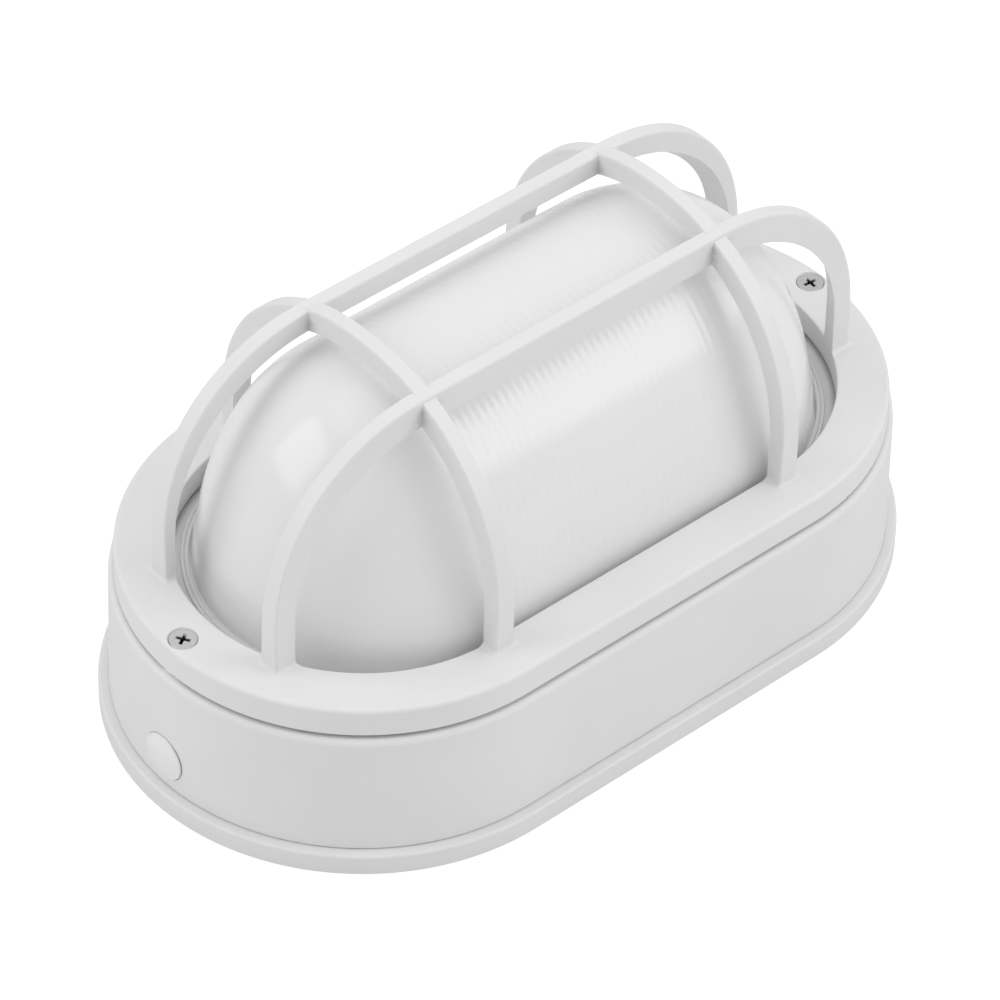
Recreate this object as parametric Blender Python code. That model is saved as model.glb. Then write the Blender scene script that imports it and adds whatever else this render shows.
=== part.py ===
"""Oval bulkhead light: a two-part plastic body, an opal diffuser and a cover moulded in one with its guard.

Metres, +Z away from the wall. The origin is the centre of the back plate's rear face, and the long axis is X.
"""

import math

import bmesh
import bpy
from mathutils import Vector

MM = 0.001

# Fit between neighbouring pieces
CLEAR = 0.3 * MM

# Plan: every oval is an offset of one line, from the left end centre to the right one
SPAN = 43.8 * MM
HOLE_R = 44.4 * MM
FLANGE_GRIP = 3.2 * MM
BOSS_R = 4.4 * MM
SCREW_EDGE = 4.5 * MM
WALL_STEP = 1.3 * MM
WALL_DRAFT = 0.55 * MM
PLATE_MARGIN = 2.55 * MM

# Heights
PLATE_H = 5.7 * MM
WALL_H = 32.7 * MM
SEAM = 0.9 * MM
COVER_H = 7.5 * MM
LIP_DEPTH = 6.9 * MM
GUARD_LEG = 10.4 * MM

# Walls
WALL_T = 2.4 * MM
WALL_ROUND = 1.5 * MM
FLOOR_T = 2.6 * MM
COVER_T = 2.8 * MM
SKIRT_T = 2.4 * MM
COVER_ROUND = 1.0 * MM
SHELF_T = 2.5 * MM
UPSTAND_T = 1.5 * MM

# Guard. A fullness of 2 makes an arch a true ellipse, and more squares its shoulders
CORE_DRAFT = 0.3 * MM
CORE_RISE = 43.6 * MM
CORE_FULLNESS = 2.06
ARCH_FULLNESS = 2.16
BAR_DEPTH = 5.5 * MM
BAR_LEG_DEPTH = 4.4 * MM
LONG_BAR_Y = 19.5 * MM
LONG_BAR_INSET = 0.7 * MM
CROSS_BAR_INSET = 0.6 * MM
BAR_FOOT_W = 5.6 * MM
BAR_CROWN_W = 4.6 * MM
BAR_ROUND = 1.2 * MM
BAR_FILLET = 1.1 * MM
BAR_SINK = 0.03 * MM

# Diffuser: its section is the upper part of a full oval whose middle is at the waist
DIFFUSER_SIDE_GAP = 1.3 * MM
DIFFUSER_END_GAP = 6.0 * MM
DIFFUSER_CROWN_GAP = 4.1 * MM
DIFFUSER_WAIST_Z = 25.0 * MM
DIFFUSER_FULLNESS = (2.2, 2.4)
DIFFUSER_T = 2.5 * MM
DIFFUSER_NECK = 3.0 * MM
FLANGE_T = 2.6 * MM
STEP_W = 2.6 * MM
STEP_H = 0.9 * MM
RIB_PITCH = 2.18 * MM
RIB_H = 0.5 * MM
GASKET_T = 2.7 * MM

# Back plate
PLATE_POCKET = 2.9 * MM
PLATE_RIM = 3.2 * MM
PLATE_BEVEL = 0.6 * MM
PLATE_RIB_W = 2.0 * MM
PLATE_RIB_Y = 22.0 * MM
PLATE_RIB_X = 30.0 * MM
PLATE_PAD = 24.0 * MM
SLOT_OFFSET = 18.2 * MM
SLOT_W = 5.0 * MM
SLOT_L = 12.0 * MM
SLOT_PAD = 5.0 * MM
SLOT_SINK = 2.0 * MM
SEAL_W = 2.0 * MM
SEAL_H = 1.4 * MM
SEAL_INSET = 2.2 * MM

# Screws
COVER_SCREW_R = 1.75 * MM
COVER_SCREW_L = 19.0 * MM
COVER_HEAD_R = 3.25 * MM
COVER_HEAD_H = 1.9 * MM
HEAD_SINK = 0.15 * MM
CROSS_W = 1.0 * MM
CROSS_L = 3.9 * MM
CROSS_DEPTH = 1.3 * MM
INSERT_WALL = 0.75 * MM
INSERT_L = 9.3 * MM
PAN_HEAD_H = 2.1 * MM
BODY_SCREW_R = 1.75 * MM
BODY_HEAD_R = 3.5 * MM
BODY_SCREW_TIP = 1.2 * MM
BODY_SCREW_X = 30.2 * MM
BODY_SCREW_Y = 26.0 * MM
SMALL_SCREW_R = 1.45 * MM
SMALL_HEAD_R = 2.8 * MM
SMALL_SCREW_BITE = 2.6 * MM
POST_R = 4.0 * MM
POST_H = 2.0 * MM

# Entries
PLUG_R = 6.4 * MM
PLUG_Z = 14.0 * MM
PLUG_CROWN = 1.3 * MM
PLUG_RIM = 0.5 * MM
PLUG_STEM_R = 4.6 * MM
PLUG_BARB = 0.4 * MM
PLUG_WALL = 1.4 * MM
SPOT_DEPTH = 0.45 * MM
GROMMET_R = 7.0 * MM
GROMMET_FLANGE = 2.0 * MM
GROMMET_MOUTH_R = 5.0 * MM
GROMMET_SKIN = 0.8 * MM
GROMMET_X = 1.2 * MM
GROMMET_INSET = 8.4 * MM

# Lamp and holder
BULB_R = 30.0 * MM
BULB_L = 105.0 * MM
CAP_R = 13.2 * MM
CAP_L = 24.0 * MM
LAMP_GAP = 3.3 * MM
HOLDER_R = 18.0 * MM
HOLDER_L = 42.0 * MM
HOLDER_BACK = 8.5 * MM
SHELL_T = 0.5 * MM
SHELL_L = 25.0 * MM
CONTACT_T = 0.6 * MM
CONTACT_W = 5.0 * MM
CONTACT_RISE = 3.0 * MM
BRACKET_T = 1.5 * MM
BRACKET_W = 24.0 * MM
BRACKET_FOOT = 26.0 * MM
BRACKET_END = 33.0 * MM
BRACKET_CROWN = 13.0 * MM
BRACKET_SCREW_X = 16.0 * MM
BRACKET_SCREW_Y = 6.5 * MM
HOLDER_SCREW_Y = 8.0 * MM
HOLDER_SCREW_BITE = 5.0 * MM
WIRE_R = 1.1 * MM
WIRE_SLACK = 0.35
WIRE_PORT_X = 4.2 * MM
WIRE_PORT_Z = 5.0 * MM
WIRE_PORT_DEPTH = 2.0 * MM

# Reflector
REFLECTOR_T = 0.8 * MM
REFLECTOR_SIDE_GAP = 2.4 * MM
REFLECTOR_WING = 8.0 * MM
REFLECTOR_RISE = 6.5 * MM
REFLECTOR_START = 4.2 * MM
REFLECTOR_END = 22.2 * MM
REFLECTOR_SCREW_INSET = 10.0 * MM

# Terminal block
WAYS = 3
WAY_PITCH = 11.0 * MM
BLOCK_W = 17.0 * MM
BLOCK_H = 13.0 * MM
BLOCK_SLIT_W = 5.0 * MM
BLOCK_SLIT_H = 7.5 * MM
BLOCK_X = 3.2 * MM
BLOCK_INSET = 7.4 * MM
TUBE_R = 2.0 * MM
TUBE_BORE_R = 1.3 * MM
TUBE_L = 14.0 * MM
TUBE_Z = 6.0 * MM
CLAMP_SCREW_R = 1.1 * MM
CLAMP_SCREW_L = 5.0 * MM
CLAMP_SCREW_Y = 4.2 * MM

# Facets: steps in a half turn of an oval, in a quarter of a guard bar, and round a turned piece
OVAL_STEPS = 18
BAR_STEPS = 9
TURN_STEPS = 20
SCREW_STEPS = 10
WIRE_STEPS = 10
DOME_STEPS = 7
RIB_DOME_STEPS = 5
EDGE_STEPS = 3
DOME_END = math.radians(88)
RIB_DOME_END = math.radians(86)
SMOOTH_ANGLE = math.radians(35)
MERGE = 1e-7

# Sizes that follow
FLANGE_R = HOLE_R + FLANGE_GRIP
SCREW_X = SPAN + FLANGE_R + CLEAR + BOSS_R
COVER_R = SCREW_X - SPAN + SCREW_EDGE
WALL_TOP_R = COVER_R + WALL_STEP
WALL_FOOT_R = WALL_TOP_R + WALL_DRAFT
PLATE_R = WALL_FOOT_R + PLATE_MARGIN
BODY_Z = PLATE_H + CLEAR
FLOOR_Z = BODY_Z + FLOOR_T
WALL_TOP = BODY_Z + WALL_H
COVER_Z = WALL_TOP + SEAM
COVER_TOP = COVER_Z + COVER_H
BOSS_TOP = COVER_Z - 2 * CLEAR
FLANGE_TOP = COVER_TOP - LIP_DEPTH - CLEAR
FLANGE_Z = FLANGE_TOP - FLANGE_T
GASKET_Z = FLANGE_Z - CLEAR - GASKET_T
SHELF_TOP = GASKET_Z - CLEAR
GUARD_Z = COVER_TOP + GUARD_LEG
CORE_R = HOLE_R - CORE_DRAFT
GUARD_R = CORE_R + BAR_LEG_DEPTH
GUARD_RISE = CORE_RISE + BAR_DEPTH
LONG_BAR_R = math.sqrt(GUARD_R**2 - LONG_BAR_Y**2)
LONG_BAR_RISE = GUARD_RISE * (1 - (LONG_BAR_Y / GUARD_R) ** ARCH_FULLNESS) ** (1 / ARCH_FULLNESS)
DIFFUSER_R = HOLE_R - DIFFUSER_SIDE_GAP
DIFFUSER_SPAN = SPAN + HOLE_R - DIFFUSER_END_GAP - DIFFUSER_R
DIFFUSER_Z = FLANGE_TOP + DIFFUSER_NECK
DIFFUSER_TOP = GUARD_Z + CORE_RISE - DIFFUSER_CROWN_GAP
POST_TOP = FLOOR_Z + POST_H
SEAT_Z = POST_TOP + CLEAR
AXIS_Z = SEAT_Z + REFLECTOR_T + LAMP_GAP + BULB_R
BRACKET_X = -(DIFFUSER_SPAN + BRACKET_END)
HOLDER_X = BRACKET_X + BRACKET_T + CLEAR
HOLDER_MOUTH_X = HOLDER_X + HOLDER_L
CONTACT_X = HOLDER_X + HOLDER_BACK + CLEAR
CAP_X = CONTACT_X + CONTACT_RISE + CLEAR
SHELL_R = CAP_R + CLEAR + SHELL_T
BLOCK_CENTRE = Vector((-(SPAN + BLOCK_X), HOLE_R - BLOCK_INSET, SEAT_Z))
BLOCK_L = WAYS * WAY_PITCH
GROMMET_AT = Vector((-(SPAN + GROMMET_X), -(HOLE_R - GROMMET_INSET), 0.0))
PLUG_FACE_X = -(SPAN + WALL_FOOT_R - WALL_DRAFT * (PLUG_Z - BODY_Z) / WALL_H - SPOT_DEPTH)

# The exact solver leaves open edges where the guard's bars, core and screw holes meet
CROSSED_PIECES = ("cage_cover",)

ENDS = {"left": -1, "right": 1}
QUARTERS = ((-1, -1), (1, -1), (1, 1), (-1, 1))


def clear_scene():
    for obj in list(bpy.data.objects):
        bpy.data.objects.remove(obj, do_unlink=True)


def material(name, colour, roughness, metallic=0.0):
    made = bpy.data.materials.new(name)
    made.use_nodes = True
    shader = made.node_tree.nodes["Principled BSDF"]
    shader.inputs["Base Color"].default_value = (*colour, 1.0)
    shader.inputs["Roughness"].default_value = roughness
    shader.inputs["Metallic"].default_value = metallic
    return made


def piece(name, bm, finish, location=(0, 0, 0), smooth_angle=35):
    """Turns a finished bmesh into a named object with its material."""
    mesh = bpy.data.meshes.new(name)
    bm.to_mesh(mesh)
    bm.free()
    mesh.shade_smooth()
    mesh.set_sharp_from_angle(angle=math.radians(smooth_angle))
    mesh.materials.append(finish)
    obj = bpy.data.objects.new(name, mesh)
    obj.location = location
    bpy.context.scene.collection.objects.link(obj)
    return obj


def shape(target, bm, operation):
    """Adds a Boolean of a hidden wire body to a piece."""
    name = f"{target.name}_{operation.lower()}_{len(target.modifiers)}"
    mesh = bpy.data.meshes.new(name)
    bm.to_mesh(mesh)
    bm.free()
    mesh.shade_smooth()
    mesh.set_sharp_from_angle(angle=math.radians(35))
    body = bpy.data.objects.new(name, mesh)
    body.parent = target
    body.hide_render = True
    body.display_type = "WIRE"
    bpy.context.scene.collection.objects.link(body)
    boolean = target.modifiers.new(name, "BOOLEAN")
    boolean.operation = operation
    boolean.solver = "MANIFOLD" if target.name in CROSSED_PIECES else "EXACT"
    boolean.object = body


def cut(target, bm):
    shape(target, bm, "DIFFERENCE")


def add(target, bm):
    shape(target, bm, "UNION")


def moved(bm, offset):
    bmesh.ops.translate(bm, verts=bm.verts, vec=Vector(offset))
    return bm


def turned_to(bm, axis):
    """Turns a shape built about +Z so that +Z points along another axis."""
    turn = Vector((0, 0, 1)).rotation_difference(Vector(axis)).to_matrix()
    bmesh.ops.rotate(bm, verts=bm.verts, cent=(0, 0, 0), matrix=turn)
    return bm


def lofted(rings, closed=False):
    """Skins rings of equal length, with a flat cap at each end or closed on itself."""
    bm = bmesh.new()
    loops = [[bm.verts.new(point) for point in ring] for ring in rings]
    pairs = list(zip(loops, loops[1:]))
    if closed:
        pairs.append((loops[-1], loops[0]))
    else:
        bm.faces.new(list(reversed(loops[0])))
        bm.faces.new(loops[-1])
    for lower, upper in pairs:
        for i, corner in enumerate(lower):
            j = (i + 1) % len(lower)
            bm.faces.new((corner, lower[j], upper[j], upper[i]))
    bmesh.ops.recalc_face_normals(bm, faces=bm.faces)
    return bm


def oval(radius, z, span=SPAN):
    """One straight-sided oval, counter-clockwise from above."""
    ring = []
    for side, start in ((1, -math.pi / 2), (-1, math.pi / 2)):
        for step in range(OVAL_STEPS + 1):
            angle = start + math.pi * step / OVAL_STEPS
            ring.append((side * span + radius * math.cos(angle), radius * math.sin(angle), z))
    return ring


def oval_band(inner, outer, low, high):
    """A flat-sided ring that follows the oval."""
    corners = ((inner, low), (outer, low), (outer, high), (inner, high))
    return lofted([oval(radius, z) for radius, z in corners], closed=True)


def turned(profile, steps=TURN_STEPS, closed=False):
    """Spins (radius, height) points about Z. An open profile starts and ends on the axis."""
    bm = bmesh.new()
    first = math.pi / steps
    points = [bm.verts.new((radius * math.cos(first), radius * math.sin(first), z)) for radius, z in profile]
    lines = [bm.edges.new(pair) for pair in zip(points, points[1:])]
    if closed:
        lines.append(bm.edges.new((points[-1], points[0])))
    bmesh.ops.spin(
        bm, geom=points + lines, cent=(0, 0, 0), axis=(0, 0, 1), angle=2 * math.pi, steps=steps
    )
    bmesh.ops.remove_doubles(bm, verts=bm.verts, dist=1e-7)
    bmesh.ops.recalc_face_normals(bm, faces=bm.faces)
    return bm


def rod(radius, low, high, steps=SCREW_STEPS):
    return turned([(0, low), (radius, low), (radius, high), (0, high)], steps)


def tube(inner, outer, low, high, steps=TURN_STEPS):
    return turned([(inner, low), (outer, low), (outer, high), (inner, high)], steps, closed=True)


def block(low, high):
    """A plain box from its lowest to its highest corner."""
    low = Vector(low)
    high = Vector(high)
    bm = bmesh.new()
    bmesh.ops.create_cube(bm, size=1.0)
    bmesh.ops.scale(bm, vec=high - low, verts=bm.verts)
    bmesh.ops.translate(bm, vec=(low + high) / 2, verts=bm.verts)
    return bm


def slot(width, length, low, high, along):
    """A round-ended slot cutter along X (0) or Y (1)."""
    half = (length - width) / 2
    rings = []
    for z in (low, high):
        ring = []
        for side, start in ((1, -math.pi / 2), (-1, math.pi / 2)):
            for step in range(SCREW_STEPS // 2 + 1):
                angle = start + math.pi * step / (SCREW_STEPS // 2)
                across = width / 2 * math.sin(angle)
                ahead = side * half + width / 2 * math.cos(angle)
                ring.append((-across, ahead, z) if along else (ahead, across, z))
        rings.append(ring)
    return lofted(rings)


def outward_arc(radius, centre_r, centre_z, start, end, steps):
    """Points of a round edge in a section, as (radius, height)."""
    points = []
    for step in range(steps + 1):
        angle = math.radians(start + (end - start) * step / steps)
        points.append((centre_r + radius * math.cos(angle), centre_z + radius * math.sin(angle)))
    return points


def make_back_plate(finish):
    """The plate that goes on the wall: a rim, a web, and pads and ribs on its rear face."""
    profile = [(PLATE_R, 0.0), (PLATE_R, PLATE_H - PLATE_BEVEL), (PLATE_R - PLATE_BEVEL, PLATE_H)]
    plate = piece("back_plate", lofted([oval(radius, z) for radius, z in profile]), finish)
    pocket_r = PLATE_R - PLATE_RIM
    cut(plate, lofted([oval(pocket_r, -CLEAR), oval(pocket_r, PLATE_POCKET)]))
    pad_top = PLATE_POCKET + CLEAR
    for y in (-PLATE_RIB_Y, PLATE_RIB_Y):
        reach = SPAN + math.sqrt(pocket_r**2 - y**2) + CLEAR
        add(plate, block((-reach, y - PLATE_RIB_W / 2, 0), (reach, y + PLATE_RIB_W / 2, pad_top)))
    for x in (-PLATE_RIB_X, PLATE_RIB_X):
        reach = pocket_r + CLEAR
        add(plate, block((x - PLATE_RIB_W / 2, -reach, 0), (x + PLATE_RIB_W / 2, reach, pad_top)))
    add(plate, block((-PLATE_PAD / 2, -PLATE_PAD / 2, 0), (PLATE_PAD / 2, PLATE_PAD / 2, pad_top)))
    for along, side in ((0, -1), (1, 1)):
        centre = (side * (SPAN + SLOT_OFFSET), 0, 0)
        wide = SLOT_W + 2 * SLOT_PAD
        long = SLOT_L + 2 * SLOT_PAD
        add(plate, moved(slot(wide, long, 0, pad_top, along), centre))
        cut(plate, moved(slot(SLOT_W, SLOT_L, -CLEAR, PLATE_H + CLEAR, along), centre))
        sink_w = SLOT_W + SLOT_PAD
        sink_l = SLOT_L + SLOT_PAD
        cut(plate, moved(slot(sink_w, sink_l, PLATE_H - SLOT_SINK, PLATE_H + CLEAR, along), centre))
    for x, y in QUARTERS:
        centre = (x * (SPAN + BODY_SCREW_X), y * BODY_SCREW_Y, 0)
        add(plate, moved(rod(BODY_HEAD_R + CLEAR, 0, pad_top, TURN_STEPS), centre))
        low = BODY_SCREW_TIP - CLEAR
        cut(plate, moved(rod(BODY_SCREW_R + CLEAR, low, PLATE_H + CLEAR), centre))
    hole_r = GROMMET_R + GROMMET_FLANGE + CLEAR
    add(plate, moved(rod(hole_r + PLATE_RIB_W, 0, pad_top, TURN_STEPS), GROMMET_AT))
    cut(plate, moved(rod(hole_r, -CLEAR, PLATE_H + CLEAR, TURN_STEPS), GROMMET_AT))
    seal_r = WALL_FOOT_R - SEAL_INSET
    groove = oval_band(seal_r - SEAL_W - CLEAR, seal_r + CLEAR, PLATE_H - SEAL_H - CLEAR, PLATE_H + CLEAR)
    cut(plate, groove)


def make_back_seal(finish):
    seal_r = WALL_FOOT_R - SEAL_INSET
    piece("back_seal", oval_band(seal_r - SEAL_W, seal_r, PLATE_H - SEAL_H, PLATE_H), finish)


def make_housing(finish):
    """The deep body: a drafted wall, a floor with posts, the gasket shelf and the two cover bosses."""
    inner_top = WALL_TOP_R - WALL_T
    shelf_r = HOLE_R + CLEAR
    upstand_r = FLANGE_R + CLEAR
    edge = outward_arc(WALL_ROUND, WALL_TOP_R - WALL_ROUND, WALL_TOP - WALL_ROUND, 90, 0, 3)
    profile = [(WALL_FOOT_R - WALL_T, FLOOR_Z), (inner_top, SHELF_TOP - SHELF_T)]
    profile += [(shelf_r, SHELF_TOP - SHELF_T), (shelf_r, SHELF_TOP), (upstand_r, SHELF_TOP)]
    profile += [(upstand_r, WALL_TOP - SEAM), (upstand_r + UPSTAND_T, WALL_TOP - SEAM)]
    profile += [(upstand_r + UPSTAND_T, SHELF_TOP), (inner_top, SHELF_TOP), (inner_top, WALL_TOP)]
    profile += [*edge, (WALL_FOOT_R, BODY_Z)]
    housing = piece("housing", lofted([oval(radius, z) for radius, z in profile]), finish)
    for side in ENDS.values():
        add(housing, cover_boss(side))
        bore = COVER_SCREW_R + INSERT_WALL + 2 * CLEAR
        insert_z = BOSS_TOP - INSERT_L - 2 * CLEAR
        cut(housing, moved(rod(bore, insert_z, COVER_Z, TURN_STEPS), (side * SCREW_X, 0, 0)))
        tip = COVER_TOP - HEAD_SINK - COVER_SCREW_L - CLEAR
        cut(housing, moved(rod(COVER_SCREW_R + CLEAR, tip, insert_z + CLEAR), (side * SCREW_X, 0, 0)))
    for x, y in post_places():
        add(housing, moved(rod(POST_R, FLOOR_Z - CLEAR, POST_TOP), (x, y, 0)))
        cut(housing, moved(rod(SMALL_SCREW_R + CLEAR, POST_TOP - SMALL_SCREW_BITE, POST_TOP + CLEAR), (x, y, 0)))
    for x, y in QUARTERS:
        centre = (x * (SPAN + BODY_SCREW_X), y * BODY_SCREW_Y, 0)
        cut(housing, moved(rod(BODY_SCREW_R + CLEAR, BODY_Z - CLEAR, FLOOR_Z + CLEAR), centre))
    cut(housing, moved(rod(GROMMET_R + CLEAR, BODY_Z - CLEAR, FLOOR_Z + CLEAR, TURN_STEPS), GROMMET_AT))
    spot = moved(turned_to(rod(PLUG_R + CLEAR, 0, WALL_T, TURN_STEPS), (-1, 0, 0)), (PLUG_FACE_X, 0, PLUG_Z))
    cut(housing, spot)
    hole = turned_to(rod(PLUG_STEM_R + CLEAR, -2 * WALL_T, WALL_T, TURN_STEPS), (-1, 0, 0))
    cut(housing, moved(hole, (PLUG_FACE_X, 0, PLUG_Z)))


def cover_boss(side):
    """A boss that hangs on the end wall and takes the cover screw's insert."""
    top = BOSS_TOP
    low = top - INSERT_L - 3 * BOSS_R / 2
    foot = low - BOSS_R / 2
    wall_x = SPAN + WALL_TOP_R - WALL_T
    rings = []
    for x, radius, z in ((SCREW_X, BOSS_R, top), (SCREW_X, BOSS_R, low), (wall_x, BOSS_R / 4, foot)):
        ring = []
        for step in range(TURN_STEPS):
            angle = 2 * math.pi * (step + 0.5) / TURN_STEPS
            ring.append((side * x + radius * math.cos(angle), radius * math.sin(angle), z))
        rings.append(ring)
    return lofted(rings)


def post_places():
    """Plan positions of the small screws that hold the bracket, the reflector and the terminal block."""
    places = [(BRACKET_X + BRACKET_SCREW_X, side * BRACKET_SCREW_Y) for side in (-1, 1)]
    places += [(x, 0.0) for x in reflector_screws()]
    places += [(BLOCK_CENTRE.x + side * WAY_PITCH / 2, BLOCK_CENTRE.y) for side in (-1, 1)]
    return places


def reflector_ends():
    return HOLDER_MOUTH_X + REFLECTOR_START, SPAN + REFLECTOR_END


def reflector_screws():
    start, end = reflector_ends()
    return start + REFLECTOR_SCREW_INSET, end - REFLECTOR_SCREW_INSET


def make_cage_cover(finish):
    """The cover ring and its four guard bars, moulded as one piece round a domed core."""
    side_r = COVER_R - CLEAR / 3
    edge = outward_arc(COVER_ROUND, side_r - COVER_ROUND, COVER_TOP - COVER_ROUND, 0, 90, 3)
    blank_r = HOLE_R - 2 * BAR_DEPTH
    lip_r = FLANGE_R - CLEAR
    lip_z = COVER_TOP - LIP_DEPTH
    under = COVER_TOP - COVER_T
    profile = [(COVER_R, COVER_Z), *edge, (blank_r, COVER_TOP), (blank_r, lip_z), (lip_r, lip_z)]
    profile += [(lip_r, under), (COVER_R - SKIRT_T, under), (COVER_R - SKIRT_T, COVER_Z)]
    cover = piece("cage_cover", lofted([oval(radius, z) for radius, z in profile], closed=True), finish)
    for side in ENDS.values():
        boss = rod(BOSS_R, BOSS_TOP + CLEAR, under + CLEAR, TURN_STEPS)
        add(cover, moved(boss, (side * SCREW_X, 0, 0)))
        cut(cover, moved(countersink(), (side * SCREW_X, 0, 0)))
    for side in (-1, 1):
        add(cover, guard_bar(LONG_BAR_R - LONG_BAR_INSET, LONG_BAR_RISE, SPAN, side * LONG_BAR_Y, 0))
        add(cover, guard_bar(GUARD_R, GUARD_RISE, 0.0, side * (SPAN - CROSS_BAR_INSET), 1))
    cut(cover, guard_core())


def guard_bar(reach, rise, straight, offset, along):
    """One hoop of the guard: drafted sides, rounded outer edges and a filleted foot at each end."""
    stations = [(straight + reach, COVER_TOP - COVER_T / 2, 0.0, BAR_FILLET)]
    for step in range(EDGE_STEPS + 1):
        angle = math.pi / 2 * step / EDGE_STEPS
        flare = BAR_FILLET * (1 - math.sin(angle))
        z = COVER_TOP - BAR_SINK + BAR_FILLET * (1 - math.cos(angle))
        stations.append((straight + reach, z, 0.0, flare))
    for step in range(BAR_STEPS + 1):
        ahead = math.cos(math.pi / 2 * step / BAR_STEPS) ** (2 / ARCH_FULLNESS)
        up = math.sin(math.pi / 2 * step / BAR_STEPS) ** (2 / ARCH_FULLNESS)
        facing = math.atan2(up ** (ARCH_FULLNESS - 1) / rise, ahead ** (ARCH_FULLNESS - 1) / reach)
        stations.append((straight + reach * ahead, GUARD_Z + rise * up, facing, 0.0))
    mirrored = [(-ahead, z, math.pi - angle, flare) for ahead, z, angle, flare in reversed(stations)]
    if not straight:
        mirrored = mirrored[1:]
    rings = []
    for ahead, z, angle, flare in stations + mirrored:
        height = (z - COVER_TOP) / (GUARD_Z + rise - COVER_TOP)
        half = (BAR_FOOT_W + (BAR_CROWN_W - BAR_FOOT_W) * height) / 2 + flare
        edge = BAR_ROUND * (1 - math.cos(math.pi / 4))
        section = ((2 * BAR_DEPTH, half), (BAR_ROUND, half), (edge, half - edge), (0.0, half - BAR_ROUND))
        section += tuple((depth, -across) for depth, across in reversed(section))
        ring = []
        for depth, across in section:
            inward = depth - flare
            x = ahead - inward * math.cos(angle)
            height_z = z - inward * math.sin(angle)
            side = offset + across
            ring.append((side, x, height_z) if along else (x, side, height_z))
        rings.append(ring)
    return lofted(rings)


def guard_core():
    """The mould's core: the cover's hole below, a long dome inside the guard above."""
    rings = [oval(HOLE_R, COVER_Z - LIP_DEPTH)]
    for step in range(BAR_STEPS):
        angle = DOME_END * (step + 0.5) / (BAR_STEPS - 0.5)
        radius = CORE_R * math.cos(angle) ** (2 / CORE_FULLNESS)
        rings.append(oval(radius, GUARD_Z + CORE_RISE * math.sin(angle) ** (2 / CORE_FULLNESS)))
    return lofted(rings)


def countersink():
    """The hole that a cover screw drops into."""
    head_r = COVER_HEAD_R + CLEAR
    bore_r = COVER_SCREW_R + CLEAR
    top = COVER_TOP + CLEAR
    seat = COVER_TOP - HEAD_SINK
    low = seat - COVER_HEAD_H - CLEAR
    profile = [(0, COVER_Z - SEAM), (bore_r, COVER_Z - SEAM), (bore_r, low)]
    profile += [(head_r, seat), (head_r, top), (0, top)]
    return turned(profile)


def dome_section(radius, top, end, steps):
    """Points of the diffuser's section from its neck up to an end angle, as (radius, height)."""
    round_share, rise_share = (2 / fullness for fullness in DIFFUSER_FULLNESS)
    rise = top - DIFFUSER_WAIST_Z
    start = math.asin(((DIFFUSER_Z - DIFFUSER_WAIST_Z) / rise) ** (1 / rise_share))
    points = []
    for step in range(steps + 1):
        angle = start + (end - start) * step / steps
        height = DIFFUSER_WAIST_Z + rise * math.sin(angle) ** rise_share
        points.append((radius * math.cos(angle) ** round_share, height))
    return points


def make_diffuser(finish):
    """The opal bowl: a clamping flange with a step, and a long dome with ribs round its inside."""
    step_r = DIFFUSER_R + (HOLE_R - CLEAR - DIFFUSER_R) / 2
    step_span = DIFFUSER_SPAN + DIFFUSER_R + STEP_W - step_r
    rings = [oval(FLANGE_R, FLANGE_Z), oval(FLANGE_R, FLANGE_TOP), oval(step_r, FLANGE_TOP, step_span)]
    rings.append(oval(step_r, FLANGE_TOP + STEP_H, step_span))
    rings.append(oval(DIFFUSER_R, FLANGE_TOP + STEP_H, DIFFUSER_SPAN))
    for radius, height in dome_section(DIFFUSER_R, DIFFUSER_TOP, DOME_END, DOME_STEPS):
        rings.append(oval(radius, height, DIFFUSER_SPAN))
    diffuser = piece("diffuser", lofted(rings), finish)
    cut(diffuser, ribbed_core())


def ribbed_core():
    """The inside of the diffuser, where ridges stand across the straight part."""
    ribs = round(2 * DIFFUSER_SPAN / RIB_PITCH)
    inner_r = DIFFUSER_R - DIFFUSER_T
    inner_top = DIFFUSER_TOP - DIFFUSER_T
    plain = dome_section(inner_r, inner_top, RIB_DOME_END, RIB_DOME_STEPS)
    ridged = dome_section(inner_r - RIB_H, inner_top - RIB_H, RIB_DOME_END, RIB_DOME_STEPS)
    plain.insert(0, (inner_r, FLANGE_Z - CLEAR))
    ridged.insert(0, (inner_r - RIB_H, FLANGE_Z - CLEAR))
    rings = []
    for level in zip(plain, ridged):
        radius, z = level[0]
        ring = []
        for side, start in ((1, -math.pi / 2), (-1, math.pi / 2)):
            for step in range(OVAL_STEPS + 1):
                turn = start + math.pi * step / OVAL_STEPS
                ring.append((side * DIFFUSER_SPAN + radius * math.cos(turn), radius * math.sin(turn), z))
            for station in range(1, 2 * ribs):
                reach, height = level[station % 2]
                ring.append((side * DIFFUSER_SPAN * (1 - station / ribs), side * reach, height))
        rings.append(ring)
    return bridged_dome(rings, OVAL_STEPS + 1, 2 * ribs - 1)


def bridged_dome(rings, arc_points, straight_points):
    """Skins rings and closes the top with strips from one long side to the other."""
    bm = bmesh.new()
    loops = [[bm.verts.new(point) for point in ring] for ring in rings]
    bm.faces.new(list(reversed(loops[0])))
    for lower, upper in zip(loops, loops[1:]):
        for i, corner in enumerate(lower):
            j = (i + 1) % len(lower)
            bm.faces.new((corner, lower[j], upper[j], upper[i]))
    crown = loops[-1]
    half = arc_points + straight_points
    near = [*crown[half + arc_points - 1:], crown[0]]
    far = list(reversed(crown[arc_points - 1 : half + 1]))
    for i in range(len(near) - 1):
        bm.faces.new((near[i], near[i + 1], far[i + 1], far[i]))
    bm.faces.new(crown[:arc_points])
    bm.faces.new(crown[half : half + arc_points])
    bmesh.ops.recalc_face_normals(bm, faces=bm.faces)
    return bm


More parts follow.
